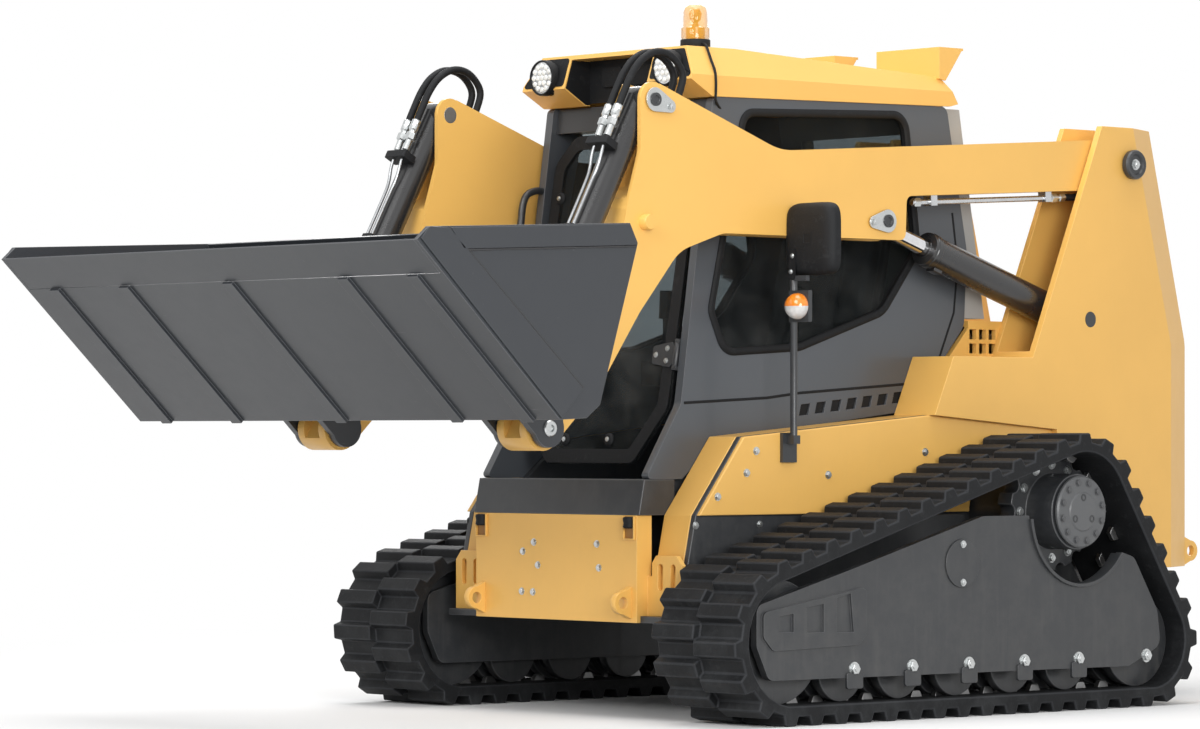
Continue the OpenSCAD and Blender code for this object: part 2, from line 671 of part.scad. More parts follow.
// Mirrors and turn signals on posts that stand on the side panels
post = [565, 20];
post_r = 11;
post_top = 1335;
module mirror_posts() {
    color(black) both() {
        block(panel_x + seat_gap, panel_x + 12, post.y - 30, post.y + 30, 770, 860);
        block(panel_x + 11, post.x + 14, post.y - 14, post.y + 14, 826, 852);
        translate([post.x, post.y, 850]) cylinder(r = post_r, h = post_top - 850);
        block(post.x - 10, post.x + 74, post.y - post_r, post.y + 5, 1195, 1290);
        block(post.x - 6, post.x + 60, post.y - 8, post.y + 8, post_top - 16, post_top);
    }
}
mirror_w = 190;
mirror_h = 222;
module mirrors() {
    color(black) both() translate([post.x + 62, post.y + 16, post_top + mirror_h / 2 + seat_gap]) rotate([90, 0, 0])
        linear_extrude(45, center = true) polygon(rounded([[-mirror_w / 2, -mirror_h / 2],
            [mirror_w / 2, -mirror_h / 2], [mirror_w / 2, mirror_h / 2], [-mirror_w / 2, mirror_h / 2]], 28));
}
module signal_lamps() {
    color([0.95, 0.45, 0.05]) both() translate([post.x + 36, post.y - post_r - seat_gap, 1242]) rotate([90, 0, 0])
        cylinder(r1 = 40, r2 = 30, h = 42);
}

// Front door: one curved-cornered pane in a leaning plane, hung on its left edge
door_lean = atan((0.334 - 0.141) / (1.878 - 0.764));
door_foot = [-300, 764];
door_x = 336;
door_h = 1040;
hinge_x = 338;
module door_plane() {
    translate([0, door_foot.x, door_foot.y]) rotate([90 - door_lean, 0, 0]) children();
}
module door_glass() {
    color(glass) door_plane() linear_extrude(glass_t) polygon(rounded([[-200, 0], [200, 0], [door_x - 10, 170],
        [door_x - 10, door_h - 90], [door_x - 80, door_h], [80 - door_x, door_h], [-door_x, door_h - 90],
        [-door_x, 170]], [40, 40, 60, 60, 60, 60, 60, 60]));
}
// Hinge leaves with their knuckles, and the handle at the free edge
hinge_places = [300, 800];
hinge_axis_z = 12;
hinge_pin_r = 5;
knuckle_r = 9;
knuckle_h = 70;
module knuckle() {
    difference() {
        cylinder(r = knuckle_r, h = knuckle_h);
        translate([0, 0, -1]) cylinder(r = hinge_pin_r + pin_gap, h = knuckle_h + 2);
    }
}
module door_fittings() {
    color(black) door_plane() {
        for (y = hinge_places) {
            translate([hinge_x, y, hinge_axis_z]) rotate([-90, 0, 0]) knuckle();
            translate([door_x - 60, y, glass_t + seat_gap]) cube([54, knuckle_h, 5]);
        }
        translate([-door_x + 20, 380, glass_t + seat_gap]) cube([36, 160, 24]);
    }
}
// Fixed halves of the door hinges: a pin between two ears beside each knuckle
rear_hinge = [knuckle_r + 1 - tower_x0, rear_door_y + 10];
rear_hinge_places = [door_low + 60, hood_z - 170];
hinge_ear_t = 12;
module pin_and_ears(reach_x) {
    translate([0, 0, -hinge_ear_t]) cylinder(r = hinge_pin_r, h = knuckle_h + 2 * hinge_ear_t);
    for (z = [-hinge_ear_t - seat_gap, knuckle_h + seat_gap]) translate([0, 0, z]) {
        cylinder(r = knuckle_r, h = hinge_ear_t);
        translate([min(0, reach_x), 1 - knuckle_r, 0]) cube([abs(reach_x), 2 * knuckle_r - 2, hinge_ear_t]);
    }
}
module door_hinges() {
    color(black) {
        door_plane() for (y = hinge_places)
            translate([hinge_x, y, hinge_axis_z]) rotate([-90, 0, 0]) pin_and_ears(cab_in - hinge_x);
        for (z = rear_hinge_places) translate([rear_hinge.x, rear_hinge.y, z]) {
            pin_and_ears(-8);
            for (dz = [-hinge_ear_t - seat_gap, knuckle_h + seat_gap])
                translate([-32, tower_rear + seat_gap - rear_hinge.y, dz])
                    cube([28, knuckle_r - tower_rear - seat_gap + rear_hinge.y, hinge_ear_t]);
        }
    }
}

// Lift arms: a box section with a two-plate head and a two-plate foot
head_tip_r = 52;
foot_r = 65;
beam_r = 85;
arm_outline = rounded([[1555, arm_pivot.y + beam_r], [0, 1715], [-500, 1893], [-577, 1845], [-577, 1693],
    [-632, 1517], [-690, 1280], [-830, 1080], [-1008, 916], [-915, 826], [-745, 985], [-580, 1215],
    [-420, 1400], [-240, 1458], [540, 1458], [545, 1596], [1335, 1640], [1555, arm_pivot.y - beam_r]],
    [0, 250, 0, 0, 60, 120, 120, 120, 0, 0, 200, 200, 150, 120, 24, 24, 0, 0]);
hub_x = arm_x0 + 90;
hub_r_arm = 47;
head_slot = [[-400, 2000], [-440, 1790], [-560, 1590], [-700, 1500], [-900, 1500], [-900, 2000]];
foot_slot = [[-1300, 1185], [-1300, 778], [-1055, 778], [-830, 1185]];
lift_slot = [[372, 1400], [600, 1400], [600, 1625], [410, 1625], [372, 1590]];
lug_plate_t = 30;
arm_pin_r = 25;
module lift_arm() {
    difference() {
        across(arm_x0, arm_x1) union() {
            polygon(arm_outline);
            translate(arm_pivot) circle(r = beam_r);
            translate(tilt_top) circle(r = head_tip_r);
            translate(bucket_pin) circle(r = foot_r);
        }
        across(hub_x, arm_x1 + 1) difference() {
            translate([1440, 1500]) square([300, 500]);
            translate(arm_pivot) circle(r = hub_r_arm);
        }
        slab(head_slot, arm_x0 + head_plate_t, arm_x1 - head_plate_t);
        slab(foot_slot, arm_x0 + lug_plate_t, arm_x1 - lug_plate_t);
        slab(lift_slot, arm_x0 + lug_plate_t, arm_x1 - lug_plate_t);
        bar(arm_pivot, arm_x0 - 1, arm_x1 + 1, pivot_pin_r + pin_gap);
        bar(bucket_pin, arm_x0 - 1, arm_x1 + 1, arm_pin_r + pin_gap);
        bar(tilt_top, arm_x0 - 1, arm_x1 + 1, arm_pin_r + pin_gap);
    }
}
module lift_arms() { color(yellow) both() lift_arm(); }
// Tube that ties the two arms behind the cab
cross_tube = [1150, 1700];
cross_r = 58;
module arm_cross_tube() { color(yellow) bar(cross_tube, -arm_x0, arm_x0, cross_r); }
// Pins of the tilt cylinders, and the pin stubs of the lift rods
module arm_pins() {
    color(steel) both() {
        bar(tilt_top, arm_x0, arm_x1 + 3, arm_pin_r);
        bar(tilt_top, arm_x1 + seat_gap, arm_x1 + 5, arm_pin_r + 7);
        bar(lift_eye, arm_x1 + seat_gap, arm_x1 + 5, arm_pin_r + 5);
    }
}
// Hydraulic pipe under each beam, in two clamps
pipe_r = 9;
pipe_ends = [[590, 1578], [1310, 1618]];
module arm_pipes() {
    color(steel) both() {
        along(pipe_ends[0], pipe_ends[1], arm_x1 - 24) rotate([0, 90, 0])
            cylinder(r = pipe_r, h = norm(pipe_ends[1] - pipe_ends[0]));
        for (f = [0.12, 0.85])
            along(mid(pipe_ends[0], pipe_ends[1], f), pipe_ends[1], arm_x1 - 24)
                translate([-14, -16, -12]) cube([28, 32, 32.2]);
    }
}
// Hoses from the tilt cylinders' ports over into the arm's head, as points in the side plane
hose_route = [[-682, 1712], [-655, 1762], [-628, 1814], [-600, 1870], [-570, 1922], [-532, 1964],
    [-480, 1990], [-425, 1987], [-384, 1960], [-364.6, 1919], [-387.9, 1853.3]];
hose_r = 12;
hose_x = 20;
module tilt_hoses() {
    color(rubber) both() for (dx = [-hose_x, hose_x]) tube(hose_route, hose_r, arm_mid_x + dx);
}
// Round tube along side-plane points at one cross place
module tube(route, r, x, sides = 10) {
    n = len(route);
    rings = [for (i = [0 : n - 1])
        let (t = unit(route[min(i + 1, n - 1)] - route[max(i - 1, 0)]), nrm = [-t.y, t.x])
        for (k = [0 : sides - 1]) let (a = 360 * k / sides, q = route[i] + r * cos(a) * nrm)
            [x + r * sin(a), q.x, q.y]];
    walls = [for (i = [0 : n - 2], k = [0 : sides - 1]) let (j = (k + 1) % sides)
        [i * sides + k, i * sides + j, (i + 1) * sides + j, (i + 1) * sides + k]];
    polyhedron(rings, concat(walls, [[for (k = [sides - 1 : -1 : 0]) k]],
        [[for (k = [0 : sides - 1]) (n - 1) * sides + k]]));
}

// Cylinders: each runs along its own X from its foot pin
eye_w = 60;
lift_foot_r = 46;
lift_eye_r = 42;
lift_barrel_to = 700;
lift_rod_len = 735;
lift_len = norm(lift_eye - lift_base);
module barrel(r, bore_r, rod_r, from, to, foot_r, foot_w, pin_r) {
    difference() {
        union() {
            rotate([90, 0, 0]) translate([0, 0, -foot_w / 2]) cylinder(r = foot_r, h = foot_w);
            translate([0, 0, 0]) rotate([0, 90, 0]) cylinder(r = r, h = to);
        }
        translate([from, 0, 0]) rotate([0, 90, 0]) cylinder(r = bore_r, h = to - from - 30);
        translate([from, 0, 0]) rotate([0, 90, 0]) cylinder(r = rod_r + pin_gap, h = to - from + 1);
        rotate([90, 0, 0]) translate([0, 0, -200]) cylinder(r = pin_r + pin_gap, h = 400);
    }
}
module rod(r, piston_r, len_, tip, eye_r) {
    translate([tip - len_, 0, 0]) rotate([0, 90, 0]) cylinder(r = r, h = len_ - eye_r + 8);
    translate([tip - len_, 0, 0]) rotate([0, 90, 0]) cylinder(r = piston_r, h = 24);
    difference() {
        rotate([90, 0, 0]) translate([tip, 0, -eye_w / 2]) cylinder(r = eye_r, h = eye_w);
        rotate([90, 0, 0]) translate([tip, 0, -eye_w]) cylinder(r = arm_pin_r, h = 2 * eye_w);
    }
}
module lift_barrels() {
    color(black) both() along(lift_base, lift_eye)
        barrel(lift_barrel_r, lift_barrel_r - 10, lift_rod_r, 64, lift_barrel_to, lift_foot_r, 100, base_pin_r);
}
module lift_rods() {
    color(steel) both() along(lift_base, lift_eye)
        rod(lift_rod_r, lift_barrel_r - 10.5, lift_rod_len, lift_len, lift_eye_r);
}
tilt_foot_r = 42;
tilt_eye_r = 42;
tilt_barrel_to = 740;
tilt_rod_len = 780;
tilt_len = norm(tilt_eye - tilt_top);
module tilt_barrels() {
    color(black) both() along(tilt_top, tilt_eye)
        barrel(tilt_barrel_r, tilt_barrel_r - 9, tilt_rod_r, 58, tilt_barrel_to, tilt_foot_r, 88, arm_pin_r);
}
module tilt_rods() {
    color(steel) both() along(tilt_top, tilt_eye)
        rod(tilt_rod_r, tilt_barrel_r - 9.5, tilt_rod_len, tilt_len, tilt_eye_r);
}

// Bucket outline, anticlockwise from the cutting edge's tip round the heel to the top of the back
bucket_pts = [[-1808, 1382], [-1290, 895], [-1190, 900], [-1140, 937], [-996, 1394], [-1026, 1450], [-1765, 1419]];
back_dir = unit(bucket_pts[4] - bucket_pts[3]);
back_out = [back_dir.y, -back_dir.x];
function back_at(s, d) = bucket_pts[3] + s * back_dir + d * back_out;
floor_dir = unit(bucket_pts[0] - bucket_pts[1]);
floor_in = inward(bucket_pts[0], bucket_pts[1]);
edge_len = 130;
edge_root = bucket_pts[0] - edge_len * floor_dir;
shell_outer = concat([edge_root], [for (i = [1 : 5]) bucket_pts[i]]);
shell_inner = inset(shell_outer, [bucket_t, bucket_t, bucket_t, bucket_t, bucket_t, -400]);
wear_places = [for (f = [-0.425, -0.246, 0.010, 0.279, 0.435]) f * bucket_w];
wear_w = 46;
wear_t = 10;
module bucket_shell() {
    color(black) {
        difference() {
            slab(shell_outer, -bucket_w / 2 + bucket_t, bucket_w / 2 - bucket_t);
            slab(shell_inner, -bucket_w / 2, bucket_w / 2);
        }
        both() slab(bucket_pts, bucket_w / 2 - bucket_t, bucket_w / 2);
        for (x = wear_places)
            slab([edge_root - wear_t * floor_in, bucket_pts[1] - wear_t * floor_in, bucket_pts[1], edge_root],
                x - wear_w / 2, x + wear_w / 2);
    }
}
module cutting_edge() {
    color(black) slab([bucket_pts[0], edge_root + seat_gap * floor_dir,
        edge_root + seat_gap * floor_dir + edge_t * floor_in,
        bucket_pts[0] + 4 * floor_in],
        -bucket_w / 2 + bucket_t + seat_gap, bucket_w / 2 - bucket_t - seat_gap);
}
// Coupler: a plate behind the bucket, with two ears round each arm's foot
ear_t = 24;
ear_x0 = arm_x0 - side_gap - 1 - ear_t;
ear_x1 = arm_x1 + side_gap + 1;
coupler_t = 40;
coupler_low = 0;
coupler_high = 360;
coupler_w = 2 * (ear_x1 + ear_t);
module coupler_plate() {
    color(black) slab([back_at(coupler_low, seat_gap), back_at(coupler_high, seat_gap),
        back_at(coupler_high, coupler_t), back_at(coupler_low, coupler_t)], -coupler_w / 2, coupler_w / 2);
}
ear_outline = [back_at(coupler_low + 10, coupler_t + seat_gap), back_at(coupler_high - 40, coupler_t + seat_gap),
    tilt_eye + 44 * back_dir, tilt_eye + 44 * back_out, bucket_pin + 56 * back_out, bucket_pin - 56 * back_dir];
stub_len = 36;
module coupler_ears() {
    color(black) both() {
        for (x = [ear_x0, ear_x1]) across(x, x + ear_t) union() {
            polygon(ear_outline);
            translate(tilt_eye) circle(r = 44);
            translate(bucket_pin) circle(r = 56);
        }
        bar(bucket_pin, ear_x0 + 1, ear_x1 + 1, arm_pin_r);
        bar(tilt_eye, ear_x0 + ear_t - 1, arm_mid_x - eye_w / 2 - side_gap, arm_pin_r);
        bar(tilt_eye, arm_mid_x + eye_w / 2 + side_gap, ear_x1 + 1, arm_pin_r);
    }
}

// The middle of the machine's length becomes the origin
mid_y = (rear_eye.x + eye_r + eye_rim + bucket_pts[0].x) / 2;
module on_middle() { translate([0, -mid_y, 0]) children(); }
on_middle() frame_plates();
on_middle() belly_plate();
on_middle() front_apron();
on_middle() tow_eyes();
on_middle() front_step();
on_middle() side_panels();
on_middle() towers();
on_middle() hood();
on_middle() engine_block();
on_middle() frame_pins();
on_middle() track_frames();
on_middle() sprockets();
on_middle() rollers();
on_middle() left_track();
on_middle() right_track();
on_middle() cab_sides();
on_middle() cab_rear_wall();
on_middle() cab_base();
on_middle() cab_header();
on_middle() cab_roof();
on_middle() side_glass();
on_middle() rear_glass();
on_middle() seat();
on_middle() control_consoles();
on_middle() work_lamps();
on_middle() lamp_lenses();
on_middle() beacon_base();
on_middle() beacon_lens();
on_middle() mirror_posts();
on_middle() mirrors();
on_middle() signal_lamps();
on_middle() door_glass();
on_middle() door_fittings();
on_middle() rear_door();
on_middle() door_hinges();
on_middle() lift_arms();
on_middle() arm_cross_tube();
on_middle() arm_pins();
on_middle() arm_pipes();
on_middle() tilt_hoses();
on_middle() lift_barrels();
on_middle() lift_rods();
on_middle() tilt_barrels();
on_middle() tilt_rods();
on_middle() coupler_plate();
on_middle() coupler_ears();
on_middle() bucket_shell();
on_middle() cutting_edge();
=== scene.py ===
import math
import random

import bmesh
import bpy
from mathutils import Matrix, Vector


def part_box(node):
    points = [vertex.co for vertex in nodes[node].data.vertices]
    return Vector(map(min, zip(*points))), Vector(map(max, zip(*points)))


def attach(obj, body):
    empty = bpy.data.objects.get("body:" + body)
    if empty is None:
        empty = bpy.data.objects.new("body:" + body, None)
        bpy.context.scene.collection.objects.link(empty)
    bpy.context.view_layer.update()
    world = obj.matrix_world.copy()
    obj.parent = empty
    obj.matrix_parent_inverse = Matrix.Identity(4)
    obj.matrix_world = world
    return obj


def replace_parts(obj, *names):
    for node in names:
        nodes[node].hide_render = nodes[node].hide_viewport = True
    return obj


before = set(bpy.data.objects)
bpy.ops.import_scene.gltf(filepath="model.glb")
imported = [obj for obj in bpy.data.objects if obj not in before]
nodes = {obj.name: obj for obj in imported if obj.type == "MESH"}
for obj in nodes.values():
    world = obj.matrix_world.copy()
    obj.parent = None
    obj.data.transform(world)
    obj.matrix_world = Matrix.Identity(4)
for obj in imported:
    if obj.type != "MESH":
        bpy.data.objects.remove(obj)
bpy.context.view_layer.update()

# Camera: the photograph is taken level, at chest height, 48 degrees round from the machine's
# front towards its left, with a long lens.
photo_w, photo_h = 1200, 729
focal_px = 4728
horizon_row = 436
sensor_mm = 36
eye_place = (10.811, -9.995, 0.85)
eye_turn = 48
front_tip = -1.808
shift_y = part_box("cutting_edge")[0][1] - front_tip


def spot(x, y, z):
    """A place on the machine, in metres from its middle plane, the cab's datum and the ground."""
    return Vector((x, y + shift_y, z))


def placed(name, data):
    """A new object in the scene."""
    thing = bpy.data.objects.new(name, data)
    bpy.context.collection.objects.link(thing)
    return thing


def given(thing, **settings):
    """A thing with some of its settings changed."""
    for key, value in settings.items():
        setattr(thing, key, value)
    return thing


lens = given(bpy.data.cameras.new("photo_lens"), lens=focal_px / photo_w * sensor_mm, sensor_width=sensor_mm,
             shift_y=(horizon_row - photo_h / 2) / photo_w, clip_end=200)
camera = given(placed("photo_camera", lens), location=spot(*eye_place),
               rotation_euler=(math.radians(90), 0, math.radians(eye_turn)))
bpy.context.scene.camera = camera
bpy.context.scene.view_settings.view_transform = "Standard"


# Floor and light: a pale seamless studio with a large soft key from the camera's left, a fill from
# its right, a strip overhead and one behind. Far off, the floor runs into the white of the room.
class Wire:
    """A shader socket that takes part in plain arithmetic."""

    def __init__(self, tree, socket=None):
        self.tree = tree
        self.socket = socket

    def node(self, kind, settings=None, out=0, **values):
        """A new node with its settings and inputs, as the wire from one of its outputs."""
        made = given(self.tree.nodes.new("ShaderNode" + kind), **(settings or {}))
        feed(made, **values)
        return Wire(self.tree, made.outputs[out])

    def math(self, operation, a, b):
        return self.node("Math", {"operation": operation}, i0=a, i1=b)

    def __add__(self, other):
        return self.math("ADD", self, other)

    def __sub__(self, other):
        return self.math("SUBTRACT", self, other)

    def __mul__(self, other):
        return self.math("MULTIPLY", self, other)

    def __rsub__(self, other):
        return self.math("SUBTRACT", other, self)

    __radd__ = __add__
    __rmul__ = __mul__


def feed(node, **values):
    """Joins wires to a node's inputs, by name or by number as i0, or sets plain values on them."""
    for key, value in values.items():
        place = node.inputs[int(key[1:]) if key[1:].isdigit() else key.replace("_", " ")]
        if isinstance(value, Wire):
            value.tree.links.new(value.socket, place)
        else:
            place.default_value = value


def shade(name):
    """A new material, the wire of a point's place on the machine, and the Principled shader."""
    material = bpy.data.materials.new(name)
    material.use_nodes = True
    tree = material.node_tree
    return material, Wire(tree).node("TexCoord", out="Object"), tree.nodes["Principled BSDF"]


def seen_by_eye(wire):
    """1 for rays that show the room: straight from the camera, mirrored, or through glass."""
    direct, mirrored, through = [wire.node("LightPath", out=ray)
                                 for ray in ("Is Camera Ray", "Is Glossy Ray", "Is Transmission Ray")]
    return wire.math("MAXIMUM", wire.math("MAXIMUM", direct, mirrored), through)


def oblong(u0, v0, u1, v1):
    """The outline of a rectangle between two corners."""
    return [(u0, v0), (u1, v0), (u1, v1), (u0, v1)]


floor_white, floor_bounce = 0.80, 0.54
floor_reach = 60
floor_fade = (2.6, 6.0)
floor_corners = oblong(-floor_reach, -floor_reach, floor_reach, floor_reach)
floor_mesh = bpy.data.meshes.new("studio_floor")
floor_mesh.from_pydata([(x, y, 0) for x, y in floor_corners], [], [(0, 1, 2, 3)])
floor = placed("studio_floor", floor_mesh)
floor_paint, where, shader = shade("studio_floor")
grain = where.node("TexNoise", Scale=1.5, Detail=2.0)
eye = seen_by_eye(where)
tone = grain * 0.02 + eye * (floor_white - floor_bounce) + (floor_bounce - 0.01)
feed(shader, Base_Color=where.node("CombineColor", Red=tone, Green=tone, Blue=tone), Roughness=0.9)
floor_distance = where.node("VectorMath", {"operation": "LENGTH"}, "Value", i0=where)
far_off = where.node("MapRange", {"interpolation_type": "SMOOTHSTEP"}, Value=floor_distance,
                     From_Min=floor_fade[0], From_Max=floor_fade[1])
white_room = where.node("Emission", Color=(1, 1, 1, 1), Strength=1.0)
laid = Wire(where.tree, shader.outputs["BSDF"])
floor_mix = where.node("MixShader", Fac=eye * far_off, i1=laid, i2=white_room)
feed(where.tree.nodes["Material Output"], Surface=floor_mix)
floor_mesh.materials.append(floor_paint)

world = bpy.data.worlds.new("studio")
bpy.context.scene.world = world
world.use_nodes = True
sky = Wire(world.node_tree)
sky_light = sky.node("Background", Color=(1, 1, 1, 1), Strength=0.50)
sky_seen = sky.node("Background", Color=(1, 1, 1, 1), Strength=1.0)
sky_mix = sky.node("MixShader", Fac=seen_by_eye(sky), i1=sky_light, i2=sky_seen)
feed(world.node_tree.nodes["World Output"], Surface=sky_mix)

# name, place, aim, width, height, watts
lamps = [
    ("key_light", spot(2.0, -7.5, 5.5), spot(0, -0.4, 0.9), 5.0, 4.0, 400),
    ("fill_light", spot(7.5, -4.0, 2.4), spot(0, -0.2, 0.8), 4.0, 3.0, 410),
    ("top_light", spot(0, 0.0, 7.0), spot(0, 0.0, 0), 6.0, 5.0, 310),
    ("back_light", spot(-6.0, 5.5, 4.5), spot(0, 0.3, 1.0), 4.0, 3.0, 220),
]
for name, place, aim, width, height, watts in lamps:
    lamp = given(bpy.data.lights.new(name, "AREA"), shape="RECTANGLE", size=width, size_y=height,
                 energy=watts)
    given(placed(name, lamp), location=place,
          rotation_euler=(aim - place).to_track_quat("-Z", "Y").to_euler())


# Rubber tracks: moulded endless belts with staggered lugs. The rubber is black with paler dust in its low
# places and scuffs on the lug faces, and every moulded edge is a little round and paler, partly scuffed and
# partly a painted highlight.
def break_edges(piece, width, segments, angle):
    """Rounds those edges of a piece that turn by more than an angle."""
    return given(piece.modifiers.new("broken_edge", "BEVEL"), width=width, segments=segments,
                 limit_method="ANGLE", angle_limit=math.radians(angle), harden_normals=True)


def dress(node, material, worn=None, edge=0.0, segments=2, angle=32):
    """Gives a carried-over solid its finish, and breaks its sharp edges where the real one's are; a second,
    lighter paint on the rounded edges is partly wear and partly a painted highlight.
    """
    piece = nodes[node]
    piece.data.materials.clear()
    piece.data.materials.append(material)
    if not edge:
        return
    given(piece.modifiers.new("joined_faces", "WELD"), merge_threshold=0.00002)
    given(piece.modifiers.new("whole_faces", "DECIMATE"), decimate_type="DISSOLVE",
          angle_limit=math.radians(0.5))
    bevel = break_edges(piece, edge, segments, angle)
    # The rounded edges take the lighter paint: partly wear, partly a painted highlight.
    if worn:
        piece.data.materials.append(worn)
        bevel.material = 1


def noise(where, scale, detail, rough=0.5):
    return where.node("TexNoise", Vector=where, Scale=scale, Detail=detail, Roughness=rough)


def ramp(value, low, high):
    """0 up to low, 1 from high on, and even in between."""
    made = value.node("ValToRGB", Fac=value)
    first, last = made.socket.node.color_ramp.elements
    first.position = low
    last.position = high
    return made


def blotches(where, scale, low, high, detail=6.0, rough=0.65):
    """A mask of soft-edged patches of one size."""
    return ramp(noise(where, scale, detail, rough), low, high)


def low_down(where, top, foot, least, most=1.0):
    """A share that grows from one height down to another."""
    height = where.node("SeparateXYZ", out="Z", Vector=where)
    return where.node("MapRange", Value=height, From_Min=top, From_Max=foot, To_Min=least, To_Max=most)


def blended(share, first, second):
    """Two colours, or wires of colour, mixed by share."""
    first = first if isinstance(first, Wire) else (*first, 1)
    second = second if isinstance(second, Wire) else (*second, 1)
    return share.node("Mix", {"data_type": "RGBA"}, out=2, i0=share, i6=first, i7=second)


def rubber_finish(name, tone, dust):
    """Black rubber or moulded plastic, gritty and scuffed, with dust low down."""
    earth = (0.080, 0.084, 0.088)
    material, where, shader = shade(name)
    grit = noise(where, 140.0, 3.0)
    dusty = blotches(where, 9.0, 0.46, 0.74)
    scuffed = blotches(where, 38.0, 0.57, 0.66, 8.0, 0.7)
    amount = dusty * low_down(where, 0.6, 0.0, 0.25) * dust + scuffed * 0.10
    bump = where.node("Bump", Strength=0.35, Distance=0.002, Height=grit + scuffed * 0.6)
    feed(shader, Base_Color=blended(amount, (tone * 0.94, tone, tone * 1.12), earth),
         Roughness=0.62 + amount * 0.25, Normal=bump, Specular_IOR_Level=0.22)
    return material


track_rubber = rubber_finish("track_rubber", 0.0085, 0.30)
# Paler rubber for the rounded edges: partly scuffing, partly a painted highlight.
lug_scuffed_highlit_rubber = rubber_finish("lug_edge_scuffed_highlit_rubber", 0.022, 0.30)
for node in ("left_track", "right_track"):
    dress(node, track_rubber, lug_scuffed_highlit_rubber, 0.006, 2, 25)

# Drive lugs: two rows of forged teeth on the inside of each belt, which run between the flanges of
# the wheels and keep the belt in line. Each is the bare end of a steel core moulded into the belt.
sides = (1, -1)
track_middle = 0.745
tooth_row = 0.049
tooth_pitch = 0.104
tooth_size = (0.020, 0.050, 0.020)
tooth_root = 0.002
# Share of the tooth's height, and of its foot's length
tooth_taper = [(0.0, 1.0), (0.75, 0.72), (1.0, 0.50)]
# The wheels as lengthwise place, height and the belt's inside radius, anticlockwise from the rear
belt_wheels = [(1.255, 0.205, 0.145), (0.940, 0.615, 0.185), (-0.325, 0.245, 0.185)]


def belt_stations(pitch):
    """Points round the belt's inside, a pitch apart, each with the angle of the way out."""
    pairs = list(zip(belt_wheels, belt_wheels[1:] + belt_wheels[:1]))
    leaves = []
    for (y0, z0, r0), (y1, z1, r1) in pairs:
        span = math.hypot(y1 - y0, z1 - z0)
        leaves.append(math.atan2(z1 - z0, y1 - y0) - math.acos((r0 - r1) / span))
    stations = []
    for k, ((y0, z0, r0), (y1, z1, r1)) in enumerate(pairs):
        start, end = leaves[k - 1], leaves[k]
        sweep = (end - start) % math.tau
        turns = max(2, round(sweep * r0 / pitch))
        for i in range(turns):
            a = start + sweep * i / turns
            stations.append((y0 + r0 * math.cos(a), z0 + r0 * math.sin(a), a))
        length = math.sqrt((y1 - y0) ** 2 + (z1 - z0) ** 2 - (r0 - r1) ** 2)
        steps = round(length / pitch)
        for i in range(steps):
            t = length * i / steps
            stations.append((y0 + r0 * math.cos(end) - t * math.sin(end),
                             z0 + r0 * math.sin(end) + t * math.cos(end), end))
    return stations


def add_piece(name, build, material, body, edge=0.0, smooth=32, segments=2):
    """Turns a finished build into a piece of the machine that rides on a body."""
    bmesh.ops.recalc_face_normals(build, faces=build.faces)
    for line in build.edges:
        line.smooth = len(line.link_faces) == 2 and line.calc_face_angle(0) < math.radians(smooth)
    for face in build.faces:
        face.smooth = True
    mesh = bpy.data.meshes.new(name)
    build.to_mesh(mesh)
    build.free()
    for one in material if isinstance(material, list) else [material]:
        mesh.materials.append(one)
    piece = placed(name, mesh)
    if edge:
        break_edges(piece, edge, segments, smooth)
    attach(piece, body)
    return piece


def loft(build, rings, closed=False):
    """Walls between rings of points that follow each other; an open row has both ends filled."""
    made = [[build.verts.new(point) for point in ring] for ring in rings]
    count = len(made[0])
    for here, there in zip(made, made[1:] + made[:1] if closed else made[1:]):
        for k in range(count):
            build.faces.new((here[k], here[(k + 1) % count], there[(k + 1) % count], there[k]))
    if not closed:
        build.faces.new(made[0][::-1])
        build.faces.new(made[-1])


def bright_metal(name, colour, rough, scratch=0.15, stain_scale=24.0):
    """Bare or plated metal, finely brushed and a little stained."""
    material, where, shader = shade(name)
    brushed = noise(where, 260.0, 3.0)
    stain = noise(where, stain_scale, 5.0, 0.65)
    bump = where.node("Bump", Strength=0.05, Distance=0.0006, Height=brushed)
    feed(shader, Base_Color=blended(stain, colour, [c * 0.70 for c in colour]), Metallic=1.0,
         Roughness=rough + brushed * scratch, Normal=bump)
    return material


teeth = bmesh.new()
for side in sides:
    for y, z, a in belt_stations(tooth_pitch):
        out = Vector((0, math.cos(a), math.sin(a)))
        along = Vector((0, -math.sin(a), math.cos(a)))
        for row in (-tooth_row, tooth_row):
            foot = spot(side * (track_middle + row), y, z) + out * tooth_root
            rings = []
            for depth, share in tooth_taper:
                w, l = tooth_size[0] / 2 * (0.6 + 0.4 * share), tooth_size[1] / 2 * share
                top = foot - out * (tooth_size[2] + tooth_root) * depth
                rings.append([top + Vector((sx * w, 0, 0)) + along * (sy * l)
                              for sx, sy in oblong(-1, -1, 1, 1)])
            loft(teeth, rings)
forged_steel = bright_metal("forged_steel", (0.34, 0.34, 0.34), 0.30, 0.2)
add_piece("track_drive_lugs", teeth, forged_steel, "machine", 0.002)
